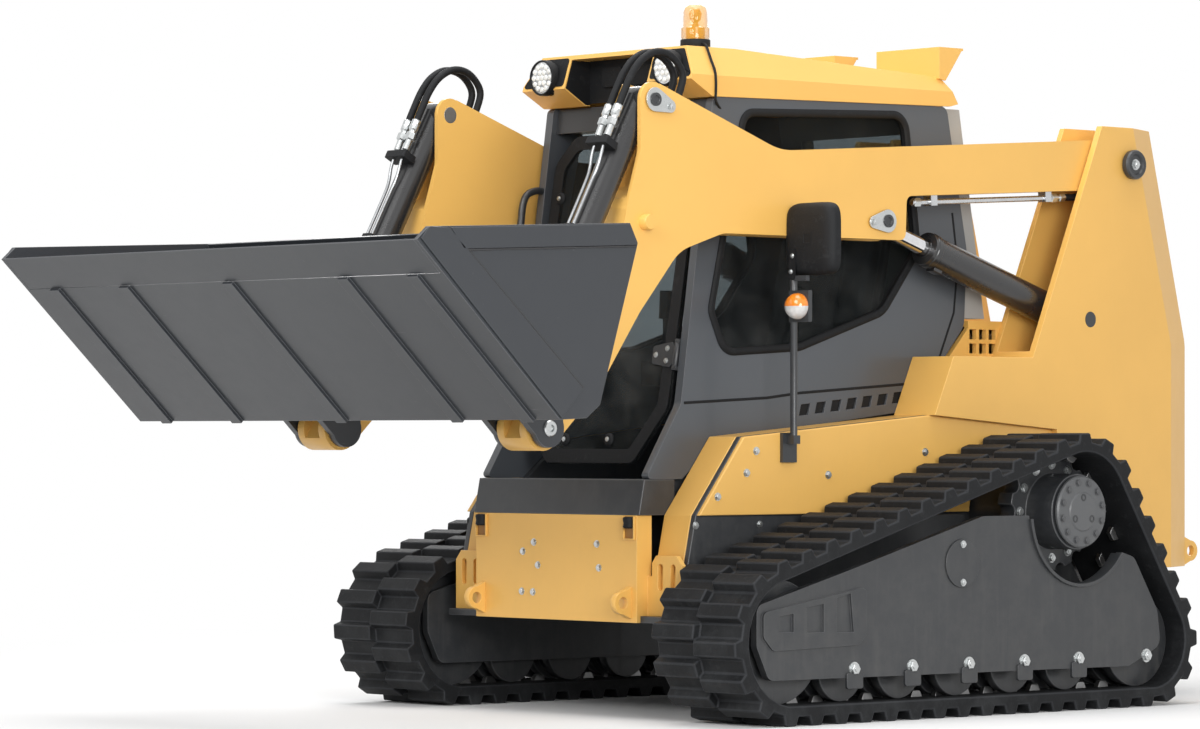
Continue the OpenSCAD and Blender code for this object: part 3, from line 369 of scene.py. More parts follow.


# Undercarriage: welded track frames, flanged rollers and idlers, and the drive sprockets, all in
# black machine paint that is dusty low down and a lighter grey on its rounded edges, partly rubbed
# and partly a painted highlight, with zinc-plated bolts.
def machine_paint(name, colour, dust=0.12, rough=0.38, wear=0.10, coat=0.15, soil=(0.17, 0.163, 0.15),
                  bare=(0.13, 0.125, 0.12)):
    """Sprayed paint with a fine peel, chips and scratches, and dust in films and streaks low down."""
    material, where, shader = shade(name)
    cloud = noise(where, 2.2, 4.0, 0.6)
    peel = noise(where, 420.0, 1.0)
    film = noise(where, 14.0, 7.0, 0.7)
    streak_way, scratch_way = [where.node("VectorMath", {"operation": "MULTIPLY"}, i0=where, i1=stretch)
                               for stretch in ((30.0, 30.0, 3.0), (6.0, 9.0, 130.0))]
    streaked = blotches(streak_way, 1.0, 0.52, 0.78, 5.0, 0.6)
    scratched = blotches(scratch_way, 1.0, 0.72, 0.75, 3.0, 0.6)
    chipped = blotches(where, 75.0, 0.70, 0.73, 4.0, 0.75)
    filmed = ramp(film, 0.42, 0.80)
    dirt = (filmed * 0.7 + streaked * 0.5) * low_down(where, 1.3, 0.1, 0.15) * dust
    base = blended(cloud, [c * 0.91 for c in colour], [min(1, c * 1.07) for c in colour])
    rubbed = blended(chipped * wear + scratched * (wear * 0.6), base, bare)
    bump = where.node("Bump", Strength=0.06, Distance=0.001, Height=peel - chipped * 0.5)
    feed(shader, Base_Color=blended(dirt, rubbed, soil), Roughness=rough + dirt * 0.9 + film * 0.08,
         Normal=bump, Coat_Weight=coat, Coat_Roughness=0.18)
    return material


frame_black = machine_paint("frame_black", (0.028, 0.030, 0.033), dust=0.26, rough=0.36)
# A lighter black for rounded edges: partly rubbed paint, partly a painted highlight.
frame_rubbed_highlit = machine_paint("frame_black_rubbed_highlit", (0.066, 0.068, 0.072), dust=0.24, rough=0.40, wear=0.5)
for node in ("track_frames", "rollers", "sprockets"):
    dress(node, frame_black, frame_rubbed_highlit, 0.003)
zinc = bright_metal("zinc_plate", (0.66, 0.68, 0.68), 0.22)


def arc(radius, steps, start=0.0, sweep=math.tau, middle=(0, 0)):
    """Points on an arc about a middle, with both its ends; a full turn ends before it starts anew."""
    count = steps if sweep == math.tau else steps + 1
    angles = [start + sweep * k / steps for k in range(count)]
    return [(middle[0] + radius * math.cos(a), middle[1] + radius * math.sin(a)) for a in angles]


def lathe(build, profile, seat, steps=32, ring=False):
    """A turned form: radius and height pairs round the seat's own Z."""
    least = 0.0001
    rings = [[seat @ Vector((u, v, height)) for u, v in arc(max(radius, least), steps)]
             for radius, height in profile]
    if ring:
        loft(build, list(zip(*rings)), True)
    else:
        loft(build, rings)


def facing(point, out):
    """A seat at a point whose Z looks along out."""
    return Matrix.Translation(point) @ Vector(out).to_track_quat("Z", "Y").to_matrix().to_4x4()


def on_sides(x, places):
    """Lengthwise places and heights on both sides of the machine, as points and the way out of each."""
    return [(spot(side * x, y, z), (side, 0, 0)) for side in sides for y, z in places]


def bolt(build, point, out, head):
    """A hexagon head on its washer, with the end of the thread showing."""
    seat = facing(point, out)
    lathe(build, [(head * 1.30, 0.0), (head * 1.26, head * 0.16)], seat, 20)
    lathe(build, [(head, head * 0.16), (head, head * 0.66), (head * 0.86, head * 0.76)], seat, 6)
    lathe(build, [(head * 0.52, head * 0.76), (head * 0.48, head * 0.86)], seat, 12)


def bolts(name, body, places, head=0.010, material=None):
    """Like bolts in one piece; each place is a point on the surface and the way out of it."""
    build = bmesh.new()
    for point, out in places:
        bolt(build, point, out, head)
    return add_piece(name, build, material or zinc, body)


plate_face = 0.897
roller_row = [-0.055 + 0.24625 * k for k in range(5)]
roller_bolt_z = 0.159
idler_bolt_y = 1.245
bolts("roller_bolts", "machine",
      on_sides(plate_face, [(y, roller_bolt_z) for y in roller_row + [idler_bolt_y]]), 0.017)


# Cover plates on the track frames: a round plate over the belt's tensioner, a folded tab under each
# roller's bolt and a rolled lip round the sprocket's cut-out, of sheet painted with the frame.
def plate(build, outline, seat, thick):
    """A flat plate: an outline in the seat's own X and Y, given a thickness along its Z."""
    loft(build, [[seat @ Vector((u, v, h)) for u, v in outline] for h in (0.0, thick)])


def seat_of(place, u, v, w):
    """A seat at a place with u, v and w as its own X, Y and Z."""
    return Matrix(((*u, 0), (*v, 0), (*w, 0), (*place, 1))).transposed()


def side_seat(side, x):
    """A seat on the machine's side at x, with Y along the machine and Z up as its own X and Y."""
    return seat_of(spot(side * x, 0, 0), (0, 1, 0), (0, 0, 1), (side, 0, 0))


def side_line(x, line):
    """A line of lengthwise places and heights, as points at x."""
    return [spot(x, y, z) for y, z in line]


def rounded(points, radius, steps=5):
    """An outline with its corners rounded, by one radius or by one for each."""
    result = []
    for k, point in enumerate(points):
        p = Vector(point)
        u = (Vector(points[k - 1]) - p).normalized()
        v = (Vector(points[(k + 1) % len(points)]) - p).normalized()
        half = u.angle(v) / 2
        r = radius[k] if isinstance(radius, list) else radius
        centre = p + (u + v).normalized() * r / math.sin(half)
        start = p + u * r / math.tan(half) - centre
        end = p + v * r / math.tan(half) - centre
        first = math.atan2(start.y, start.x)
        sweep = (math.atan2(end.y, end.x) - first + math.pi) % math.tau - math.pi
        result += arc(r, steps, first, sweep, centre)
    return result


cover = (0.408, 0.464)
cover_r = 0.074
cover_t = 0.005
drive_axle = (0.940, 0.615)
cut_r = 0.233
lip_start, lip_sweep = math.radians(185), math.radians(139)
lip_section = [(0.860, cut_r + 0.001), (0.860, cut_r - 0.010), (0.906, cut_r - 0.010), (0.906, cut_r + 0.001)]
covers = bmesh.new()
for side in sides:
    plate(covers, arc(cover_r, 40, middle=cover), side_seat(side, plate_face), cover_t)
    for y in roller_row:
        tab = rounded(oblong(y - 0.034, 0.100, y + 0.034, 0.150), 0.008)
        plate(covers, tab, side_seat(side, plate_face - 0.004), 0.010)
    rails = [side_line(side * x, arc(r, 36, lip_start, lip_sweep, drive_axle)) for x, r in lip_section]
    loft(covers, list(zip(*rails)))
add_piece("track_frame_covers", covers, frame_black, "machine", 0.002)
cover_bolts = [(cover[0], cover[1] + dz) for dz in (-0.058, 0.058)]
bolts("cover_bolts", "machine", on_sides(plate_face + cover_t, cover_bolts), 0.009)


# Final drives: a turned grey cover on each sprocket's hub with a ring of bolts and three oil plugs,
# and the bolts that hold the sprocket's ring.
def turned(name, profile, seats, material, body, steps=32, ring=False):
    """Like turned forms in one piece, one on each seat."""
    build = bmesh.new()
    for seat in seats:
        lathe(build, profile, seat, steps, ring)
    return add_piece(name, build, material, body)


def seats_on_sides(x, places):
    """Seats that look outwards, at the same places on both sides of the machine."""
    return [facing(point, out) for point, out in on_sides(x, places)]


hub_profile = [(0.112, -0.004), (0.112, 0.003), (0.107, 0.008), (0.062, 0.009), (0.058, 0.013),
               (0.0, 0.014)]
plug_profile = [(0.012, 0.0), (0.012, 0.005), (0.007, 0.006), (0.006, 0.002)]
hub_grey = machine_paint("hub_grey", (0.088, 0.091, 0.095), dust=0.18, rough=0.42, wear=0.15)
hub_ring = arc(0.092, 12, math.radians(12), middle=drive_axle)
plug_ring = arc(0.044, 3, math.radians(90), middle=drive_axle)
sprocket_face = 0.775
sprocket_ring = arc(0.146, 12, middle=drive_axle)
hub_seats = seats_on_sides(plate_face, [drive_axle])
plug_seats = seats_on_sides(plate_face + 0.009, plug_ring)
turned("hub_covers", hub_profile, hub_seats, hub_grey, "machine", 48)
turned("hub_plugs", plug_profile, plug_seats, frame_black, "machine", 20)
# The hub's bolts take the lighter black: a painted highlight with some rubbing.
bolts("hub_bolts", "machine", on_sides(plate_face + 0.008, hub_ring), 0.010, frame_rubbed_highlit)
bolts("sprocket_bolts", "machine", on_sides(sprocket_face, sprocket_ring), 0.012)

# Chassis: black frame plates and belly, the step across the front and the cab's floor, of welded
# plate with the same paint as the undercarriage. The engine is a plain block behind the cab.
for node in ("frame_plates", "belly_plate", "front_step", "cab_base", "cab_header", "door_hinges"):
    dress(node, frame_black, frame_rubbed_highlit, 0.003)
frame_face = 0.520
frame_bolts = [(-0.345, 0.583), (-0.080, 0.583)]
bolts("frame_plate_bolts", "machine", on_sides(frame_face, frame_bolts), 0.009)
dress("engine_block", machine_paint("engine_grey", (0.09, 0.09, 0.09), dust=0.3, rough=0.5), None, 0.012, 3)

# Body: folded sheet panels, the rear towers, the hood and the front apron, welded and bolted on the
# frame and sprayed in yellow machine paint, a lighter yellow on the rounded edges: partly rubbed, partly a
# painted highlight.
body_soil = (0.34, 0.25, 0.13)
body_yellow = machine_paint("body_yellow", (0.80, 0.462, 0.113), dust=0.09, rough=0.40, wear=0.03, coat=0.12,
                            soil=body_soil, bare=(0.62, 0.36, 0.12))
# A lighter yellow for rounded edges: partly rubbed paint, partly a painted highlight.
body_rubbed_highlit = machine_paint("body_yellow_rubbed_highlit", (0.84, 0.50, 0.14), dust=0.08, rough=0.42, wear=0.25, coat=0.10,
                          soil=body_soil, bare=(0.35, 0.24, 0.14))
for node in ("front_apron", "side_panels", "towers", "hood", "tow_eyes"):
    dress(node, body_yellow, body_rubbed_highlit, 0.004)
apron_face = -0.446
apron_bolts = [(-0.097, 0.525), (-0.148, 0.496), (-0.078, 0.455), (0.192, 0.524), (0.201, 0.452),
               (-0.153, 0.373), (-0.101, 0.372)]
bolts("apron_bolts", "machine", [(spot(x, apron_face, z), (0, -1, 0)) for x, z in apron_bolts], 0.009)
panel_face = 0.536
panel_bolts = [(-0.110, 0.805), (-0.150, 0.739), (-0.270, 0.668), (0.195, 0.731), (0.62, 0.80)]
bolts("panel_bolts", "machine", on_sides(panel_face, panel_bolts))

# Step buffers: an open yellow pocket at each upper corner of the apron, its rim welded on, with a turned
# rubber buffer hung in it, on which the tilted cab comes to rest. The pocket's inside is a thin flat
# plate on the apron in a dark brownish yellow, painted shade for its depth.
# Painted shade: a dark brownish yellow for the shaded inside of the pocket.
pocket_shade_paint = machine_paint("pocket_shade_paint", (0.30, 0.135, 0.022), dust=0.2, rough=0.5, wear=0.02,
                              coat=0.05)
pocket_x, pocket_w = 0.340, 0.021
pocket_low, pocket_high = 0.543, 0.609
rim_w = 0.004
rim_low = pocket_low - rim_w
rim_strips = [(-pocket_w - rim_w, rim_low, -pocket_w, pocket_high),
              (pocket_w, rim_low, pocket_w + rim_w, pocket_high), (-pocket_w, rim_low, pocket_w, pocket_low)]
buffer_profile = [(0.014, -0.030), (0.019, -0.026), (0.0165, -0.014), (0.019, -0.002), (0.017, 0.004),
                  (0.0, 0.005)]
shade_plates, rims = bmesh.new(), bmesh.new()
for side in sides:
    pocket_seat = seat_of(spot(side * pocket_x, apron_face, 0), (1, 0, 0), (0, 0, 1), (0, -1, 0))
    # A thin flat plate in the painted-shade yellow, standing for the pocket's hollow.
    plate(shade_plates, oblong(-pocket_w, pocket_low, pocket_w, pocket_high), pocket_seat, 0.0012)
    for strip in rim_strips:
        plate(rims, oblong(*strip), pocket_seat, 0.008)
add_piece("buffer_painted_shade", shade_plates, pocket_shade_paint, "machine")
add_piece("buffer_pockets", rims, body_yellow, "machine", 0.001)
buffer_seats = [Matrix.Translation(spot(side * pocket_x, apron_face - 0.004, 0.603)) for side in sides]
turned("step_buffers", buffer_profile, buffer_seats, track_rubber, "machine", 24)

# Arm pivots: each pin ends in a turned cap with a rolled rim on the tower's outside, in the frame's
# black paint, held by one zinc-plated bolt.
pivot = (1.555, 1.730)
pivot_face = 0.574
cap_profile = [(0.047, -0.010), (0.048, 0.006), (0.044, 0.012), (0.034, 0.010), (0.030, 0.004),
               (0.0, 0.004)]
dress("frame_pins", frame_black)
cap_seats = seats_on_sides(pivot_face, [pivot])
turned("pivot_caps", cap_profile, cap_seats, frame_black, "machine", 40)
bolts("pivot_bolts", "machine", on_sides(pivot_face + 0.004, [pivot]), 0.014)

# Rear door: a flat steel door in black paint with six slots, a slanted blade behind each, and a turned
# zinc-plated latch with a finger plate at the free edge.
dress("rear_door", frame_black, frame_rubbed_highlit, 0.003)
door_skin = 1.907
slot_foot = [0.840 + 0.052 * k for k in range(6)]
blade_half = 0.279
blades = bmesh.new()
for z in slot_foot:
    corners = [(1.884, z + 0.022), (1.886, z + 0.025), (1.904, z + 0.003), (1.902, z + 0.001)]
    loft(blades, [side_line(x, corners) for x in (-blade_half, blade_half)])
add_piece("rear_door_blades", blades, frame_black, "rear_hatch")
latch = bmesh.new()
latch_seat = facing(spot(0.325, door_skin, 0.955), (0, 1, 0))
plate(latch, rounded(oblong(-0.028, -0.055, 0.028, 0.055), 0.012), latch_seat, 0.003)
lathe(latch, [(0.020, 0.003), (0.020, 0.010), (0.015, 0.014), (0.0, 0.014)], latch_seat, 28)
add_piece("rear_door_latch", latch, zinc, "rear_hatch", 0.001)

# Cab sides: pressed steel in dark grey paint with a raised panel line, a row of louvres at the foot,
# and a black rubber section round the window.
cab_grey = machine_paint("cab_grey", (0.064, 0.071, 0.081), dust=0.08, rough=0.32, wear=0.03, coat=0.25)
# A lighter grey for rounded edges: partly rubbed paint, partly a painted highlight.
cab_rubbed_highlit = machine_paint("cab_grey_rubbed_highlit", (0.105, 0.110, 0.120), dust=0.10, rough=0.36, wear=0.15, coat=0.2)
dress("cab_sides", cab_grey, cab_rubbed_highlit, 0.004)
cab_face = 0.380
window_corners = [(-0.011, 1.838), (0.690, 1.862), (0.748, 1.437), (0.590, 1.240), (0.223, 1.124),
                  (-0.095, 1.105), (-0.152, 1.230)]
window = rounded(window_corners, [0.050, 0.060, 0.070, 0.090, 0.120, 0.060, 0.050], 8)


def tube(build, path, radius, facets=12, closed=False, flat=1.0):
    """A round section led along a path of points; flat thins it along X."""
    count = len(path)
    rings = []
    normal = None
    for k, point in enumerate(path):
        ahead = path[(k + 1) % count] if closed or k + 1 < count else point
        behind = path[k - 1] if closed or k > 0 else point
        way = (ahead - behind).normalized()
        if normal is None:
            normal = way.orthogonal() if abs(way.x) > 0.5 else Vector((1, 0, 0))
        normal = (normal - way * normal.dot(way)).normalized()
        across = way.cross(normal)
        r = radius[k] if isinstance(radius, list) else radius
        rings.append([point + normal * (r * flat * c) + across * (r * s) for c, s in arc(1.0, facets)])
    loft(build, rings, closed)


seal_rubber = rubber_finish("seal_rubber", 0.008, 0.05)
panel_line = [(-0.262, 0.950), (0.086, 0.967), (0.228, 0.983), (0.790, 1.020), (0.835, 1.075),
              (0.912, 1.242), (0.930, 1.400), (0.905, 1.560)]
seals = bmesh.new()
for side in sides:
    tube(seals, side_line(side * cab_face, window), 0.013, 10, True, 0.7)
    tube(seals, side_line(side * (cab_face - 0.012), window), 0.010, 8, True)
    tube(seals, side_line(side * (cab_face - 0.001), panel_line), 0.005, 8, False, 0.6)
add_piece("cab_seals", seals, seal_rubber, "machine")
louvre_count = 8
louvre_from, louvre_to = Vector((0.223, 0.912)), Vector((0.700, 0.958))
louvre_corners = [(0.001, 0.001), (0.039, 0.004), (0.049, 0.038), (0.011, 0.035)]
louvres = bmesh.new()
for side in sides:
    for k in range(louvre_count):
        foot = louvre_from.lerp(louvre_to, k / (louvre_count - 1))
        corners = [foot + Vector(corner) for corner in louvre_corners]
        plate(louvres, corners, side_seat(side, cab_face - 0.0058), 0.0008)
add_piece("cab_louvres", louvres, seal_rubber, "machine")

# Cab rear: the welded wall between the sides with its two corner posts, in pale grey paint that is
# lighter along the folds, partly rubbed and partly a painted highlight.
pillar_grey = machine_paint("pillar_grey", (0.34, 0.335, 0.32), dust=0.10, rough=0.45, wear=0.02)
# A lighter grey for the folds: partly rubbed paint, partly a painted highlight.
pillar_rubbed_highlit = machine_paint("pillar_grey_rubbed_highlit", (0.42, 0.41, 0.39), dust=0.10, rough=0.45, wear=0.1)
dress("cab_rear_wall", pillar_grey, pillar_rubbed_highlit, 0.004)


# Glass: tinted safety panes in the sides, the rear wall and the front door, with a film of dust that
# thickens towards the sill.
def pane_finish(name, tint):
    """Tinted glass that is seen through, mixed with a share of dusty film."""
    material, where, shader = shade(name)
    film = blotches(where, 6.0, 0.35, 0.85)
    feed(shader, Base_Color=blended(film, (0.16, 0.17, 0.17), (0.24, 0.235, 0.22)),
         Roughness=0.30 + film * 0.3, Specular_IOR_Level=0.6)
    dusty = Wire(where.tree, shader.outputs["BSDF"])
    clear = where.node("BsdfTransparent", Color=(*tint, 1))
    share = film * low_down(where, 1.75, 0.95, 0.03, 0.20) + 0.02
    feed(where.tree.nodes["Material Output"], Surface=where.node("MixShader", Fac=share, i1=clear, i2=dusty))
    return material


pane = pane_finish("tinted_pane", (0.52, 0.55, 0.56))
for node in ("side_glass", "rear_glass"):
    dress(node, pane)
dress("door_glass", pane_finish("door_pane", (0.62, 0.65, 0.66)))

# Front door: one leaning pane with a wide black border bonded to it on both faces, two bolted hinge
# straps and four turned stand-off buttons with a bolt in each.
door_lean = math.atan(0.193 / 1.114)
door_up = Vector((0, math.sin(door_lean), math.cos(door_lean)))
door_out = Vector((0, -math.cos(door_lean), math.sin(door_lean)))
door_seat = seat_of(spot(0, -0.300, 0.764), (1, 0, 0), door_up, door_out)
door_corners = [(-0.200, 0.0), (0.200, 0.0), (0.326, 0.170), (0.326, 0.950), (0.256, 1.040),
                (-0.256, 1.040), (-0.336, 0.950), (-0.336, 0.170)]
door_radii = [0.04, 0.04, 0.06, 0.06, 0.06, 0.06, 0.06, 0.06]
pane_t = 0.006


def inset(points, d):
    """An anticlockwise outline moved inwards by d, edge by edge."""
    result = []
    for k, point in enumerate(points):
        p = Vector(point)
        a = (p - Vector(points[k - 1])).normalized()
        b = (Vector(points[(k + 1) % len(points)]) - p).normalized()
        n0, n1 = Vector((-a.y, a.x)), Vector((-b.y, b.x))
        det = n0.x * n1.y - n0.y * n1.x
        result.append((p.x + d * (n1.y - n0.y) / det, p.y + d * (n0.x - n1.x) / det))
    return result


def border(build, corners, radii, width, seat, low, high):
    """A frame of even width inside an outline, from height low to high."""
    outer = rounded(inset(corners, 0.002), radii, 6)
    inner = rounded(inset(corners, width), [max(0.02, r - width * 0.4) for r in radii], 6)
    section = [(outer, low), (outer, high), (inner, high), (inner, low)]
    loft(build, [[seat @ Vector((*line[k], h)) for line, h in section] for k in range(len(outer))], True)


door_black = rubber_finish("door_border", 0.009, 0.05)
borders = bmesh.new()
border(borders, door_corners, door_radii, 0.046, door_seat, pane_t, pane_t + 0.004)
border(borders, door_corners, door_radii, 0.040, door_seat, -0.010, -0.0002)
add_piece("door_border", borders, door_black, "front_door", 0.001)
dress("door_fittings", frame_black, frame_rubbed_highlit, 0.002)
strap_foot, strap_t = 0.0112, 0.005
strap_line = [(0.236, 0.008), (0.318, -0.004), (0.330, 0.010), (0.330, 0.060), (0.318, 0.074),
              (0.236, 0.062)]
strap_holes = [(0.252, 0.035), (0.300, 0.016), (0.300, 0.054)]
straps = bmesh.new()
strap_bolts = []
for s in (0.300, 0.800):
    outline = rounded([(x, s + rise) for x, rise in strap_line], 0.008, 3)
    plate(straps, outline, door_seat @ Matrix.Translation((0, 0, strap_foot)), strap_t)
    strap_bolts += [(door_seat @ Vector((x, s + rise, strap_foot + strap_t)), door_out)
                    for x, rise in strap_holes]
add_piece("door_straps", straps, frame_black, "front_door", 0.001)
bolts("door_strap_bolts", "front_door", strap_bolts, 0.007)
buttons = [(-0.12, 0.075), (0.08, 0.075), (-0.29, 0.62), (-0.29, 0.84)]
button_profile = [(0.020, 0.0), (0.020, 0.004), (0.014, 0.010), (0.0, 0.011)]
button_seats = [door_seat @ Matrix.Translation((x, s, pane_t)) for x, s in buttons]
turned("door_buttons", button_profile, button_seats, door_black, "front_door", 24)
button_bolts = [(seat @ Vector((0, 0, 0.0105)), door_out) for seat in button_seats]
bolts("door_button_bolts", "front_door", button_bolts, 0.006)


# Operator's place: a sprung seat with two stuffed vinyl cushions, sewn in channels, in a moulded shell
# between two black armrest consoles that carry the levers.
def vinyl_finish(name, tone):
    """Grained vinyl, a little creased and worn."""
    material, where, shader = shade(name)
    pores = where.node("TexVoronoi", Vector=where, Scale=320.0)
    folds = noise(where, 30.0, 5.0)
    worn = blotches(where, 7.0, 0.45, 0.75)
    bump = where.node("Bump", Strength=0.10, Distance=0.0005, Height=pores * 0.4 + folds)
    feed(shader, Base_Color=blended(worn * 0.5, (tone, tone, tone * 1.05), (0.060, 0.058, 0.056)),
         Roughness=0.42 + folds * 0.2, Normal=bump)
    return material


seat_vinyl = vinyl_finish("seat_vinyl", 0.022)
swell_steps = 20
swell_most = 0.014
channel_depth, channel_w = 0.009, 0.010


def stuffed(name, size, seat, channels):
    """A cushion blown up from a slim rounded box, then drawn in along its sewn channels."""
    build = bmesh.new()
    bmesh.ops.create_cube(build, size=1.0)
    bmesh.ops.scale(build, vec=size, verts=build.verts)
    bmesh.ops.bevel(build, geom=list(build.edges), offset=min(size) * 0.32, segments=3, affect="EDGES",
                    profile=0.5)
    mesh = bpy.data.meshes.new(name)
    build.to_mesh(mesh)
    build.free()
    pad = placed(name, mesh)
    given(pad.modifiers.new("even_mesh", "REMESH"), mode="VOXEL", voxel_size=0.011)
    pad.data = bpy.data.meshes.new_from_object(pad.evaluated_get(bpy.context.evaluated_depsgraph_get()))
    pad.modifiers.clear()
    slack = [v.co.copy() for v in pad.data.vertices]
    swell = pad.modifiers.new("stuffing", "CLOTH")
    given(swell.settings, use_pressure=True, uniform_pressure_force=4, quality=4)
    swell.settings.effector_weights.gravity = 0
    swell.point_cache.frame_end = swell_steps
    for step in range(1, swell_steps + 1):
        bpy.context.scene.frame_set(step)
    full = pad.evaluated_get(bpy.context.evaluated_depsgraph_get()).data
    moved = [v.co.copy() for v in full.vertices]
    pad.modifiers.clear()
    bpy.context.scene.frame_set(1)
    for v, start, end in zip(pad.data.vertices, slack, moved):
        move = end - start
        v.co = start + move * min(1.0, swell_most / max(move.length, 1e-6))
    for v in pad.data.vertices:
        if v.co.z > 0:
            for axis, place in channels:
                v.co.z -= channel_depth * math.exp(-((v.co[axis] - place) / channel_w) ** 2)
    given(pad.modifiers.new("smooth_cover", "SUBSURF"), levels=1, render_levels=1)
    for face in pad.data.polygons:
        face.use_smooth = True
    pad.data.materials.clear()
    pad.data.materials.append(seat_vinyl)
    pad.matrix_world = seat
    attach(pad, "machine")
    return pad


back_lean = math.radians(12)
cushion_seat = Matrix.Translation(spot(0, 0.495, 0.968))
back_seat = Matrix.Translation(spot(0, 0.705, 1.300)) @ Matrix.Rotation(math.radians(90) - back_lean, 4, "X")
# Channels as axis and place along it
cushion_channels = [(0, -0.11), (0, 0.11), (1, -0.06), (1, 0.08)]
back_channels = [(0, -0.11), (0, 0.11), (1, -0.12), (1, 0.08)]
cushion = stuffed("seat_cushion", (0.440, 0.375, 0.085), cushion_seat, cushion_channels)
stuffed("seat_backrest", (0.440, 0.560, 0.075), back_seat, back_channels)
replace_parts(cushion, "seat")
shell_line = [(0.320, 0.9005), (0.700, 0.9005), (0.720, 1.000), (0.838, 1.580), (0.815, 1.590),
              (0.700, 1.010), (0.660, 0.925), (0.320, 0.925)]
shell_half = 0.20
shell = bmesh.new()
loft(shell, [side_line(x, shell_line) for x in (-shell_half, shell_half)])
black_plastic = rubber_finish("black_plastic", 0.009, 0.08)
add_piece("seat_shell", shell, black_plastic, "machine", 0.008, 32, 3)
dress("control_consoles", black_plastic, None, 0.006, 3)

# Roof: a folded yellow shell with two square visors behind. In front it is lined in black: a pan between
# the lamp hoods with two vents in it, and a mask inside each hood round its lamp.
dress("cab_roof", body_yellow, body_rubbed_highlit, 0.004)
roof_black = rubber_finish("roof_lining", 0.007, 0.05)
cheek_line = [(-0.1500, 1.8835), (-0.1310, 1.8835), (-0.1310, 2.0195), (-0.2060, 2.0195), (-0.2340, 1.9320)]
cheek_x = 0.1885
hood_foot = spot(0, -0.240, 1.930)
hood_lean = Vector((0, 0.035, 0.105)).normalized()
hood_out = Vector((0, -hood_lean.z, hood_lean.y))
hood_mask = [(0.198, 0.008), (0.380, 0.008), (0.380, 0.020), (0.326, 0.102), (0.198, 0.102)]
pan = oblong(-0.189, 1.888, 0.189, 2.0195)
vents = [rounded(oblong(x0, 1.935, x1, 1.995), 0.008, 3) for x0, x1 in ((-0.120, -0.030), (0.020, 0.130))]
lining = bmesh.new()
for side in sides:
    plate(lining, cheek_line, side_seat(side, cheek_x), 0.0013)
for side in sides:
    plate(lining, rounded(hood_mask, 0.010, 3), seat_of(hood_foot, (side, 0, 0), hood_lean, hood_out), 0.0015)
for outline, depths in ((pan, (-0.1335, -0.1305)), *[(vent, (-0.145, -0.1330)) for vent in vents]):
    loft(lining, [[spot(x, y, z) for x, z in outline] for y in depths])
add_piece("roof_lining", lining, roof_black, "machine", 0.001)

# Front work lamps: round black housings in the roof's hoods, each with a rolled rim, a silvered
# reflector and nineteen clear light cells.
lamp_middle = (0.282, 1.968)
lamp_mouth = -0.2504
dress("work_lamps", black_plastic)


def lens_finish(name, colour, rough, alpha=1.0, scale=70.0):
    """Moulded lens plastic with small cells, glossy and, below an alpha of 1, seen through."""
    material, where, shader = shade(name)
    ribs = where.node("TexVoronoi", Vector=where, Scale=scale)
    bump = where.node("Bump", Strength=0.4, Distance=0.002, Height=ribs)
    feed(shader, Base_Color=blended(ribs, colour, [c * 0.75 for c in colour]),
         Roughness=rough + ribs * 0.05, Normal=bump, Coat_Weight=0.8, Coat_Roughness=0.02)
    if alpha < 1:
        feed(shader, Alpha=ribs * 0.08 + alpha)
    return material


lamp_silver = bright_metal("lamp_reflector", (0.86, 0.87, 0.88), 0.20)
dress("lamp_lenses", lamp_silver)
cell_white = lens_finish("light_cell", (0.92, 0.93, 0.90), 0.10)
ahead = (0, -1, 0)
rim_profile = [(0.0490, 0.001), (0.0500, 0.005), (0.0535, 0.005), (0.0560, 0.001), (0.0560, -0.020),
               (0.0490, -0.004)]
reflector_profile = [(0.0500, -0.003), (0.0500, 0.0005), (0.0, 0.0010)]
cell_profile = [(0.0088, 0.0), (0.0082, 0.003), (0.0058, 0.005), (0.0, 0.0055)]
cell_places = [place for ring, count in ((0.0, 1), (0.0185, 6), (0.0375, 12)) for place in arc(ring, count)]
lamp_spots = [spot(side * lamp_middle[0], lamp_mouth, lamp_middle[1]) for side in sides]
lamp_seats = [facing(point, ahead) for point in lamp_spots]
cell_seats = [facing(point + Vector((u, 0, v)), ahead) for point in lamp_spots for u, v in cell_places]
turned("lamp_reflectors", reflector_profile, lamp_seats, lamp_silver, "machine", 40)
turned("lamp_rims", rim_profile, lamp_seats, black_plastic, "machine", 40, True)
turned("lamp_cells", cell_profile, cell_seats, cell_white, "machine", 14)

# Rear work lamps: smaller round lamps at the roof's square visors, each a turned black body on a short
# foot with a clear domed lens, looking back.
rear_profile = [(0.020, -0.001), (0.024, 0.012), (0.038, 0.022), (0.040, 0.044), (0.037, 0.046),
                (0.036, 0.040), (0.0, 0.040)]
rear_lens_profile = [(0.0355, 0.0395), (0.034, 0.0430), (0.022, 0.0450), (0.0, 0.0455)]
rear_seats = [facing(spot(side * 0.236, 0.858, 2.034), (0, 1, 0)) for side in sides]
turned("rear_lamps", rear_profile, rear_seats, black_plastic, "machine")
turned("rear_lamp_lenses", rear_lens_profile, rear_seats, cell_white, "machine")

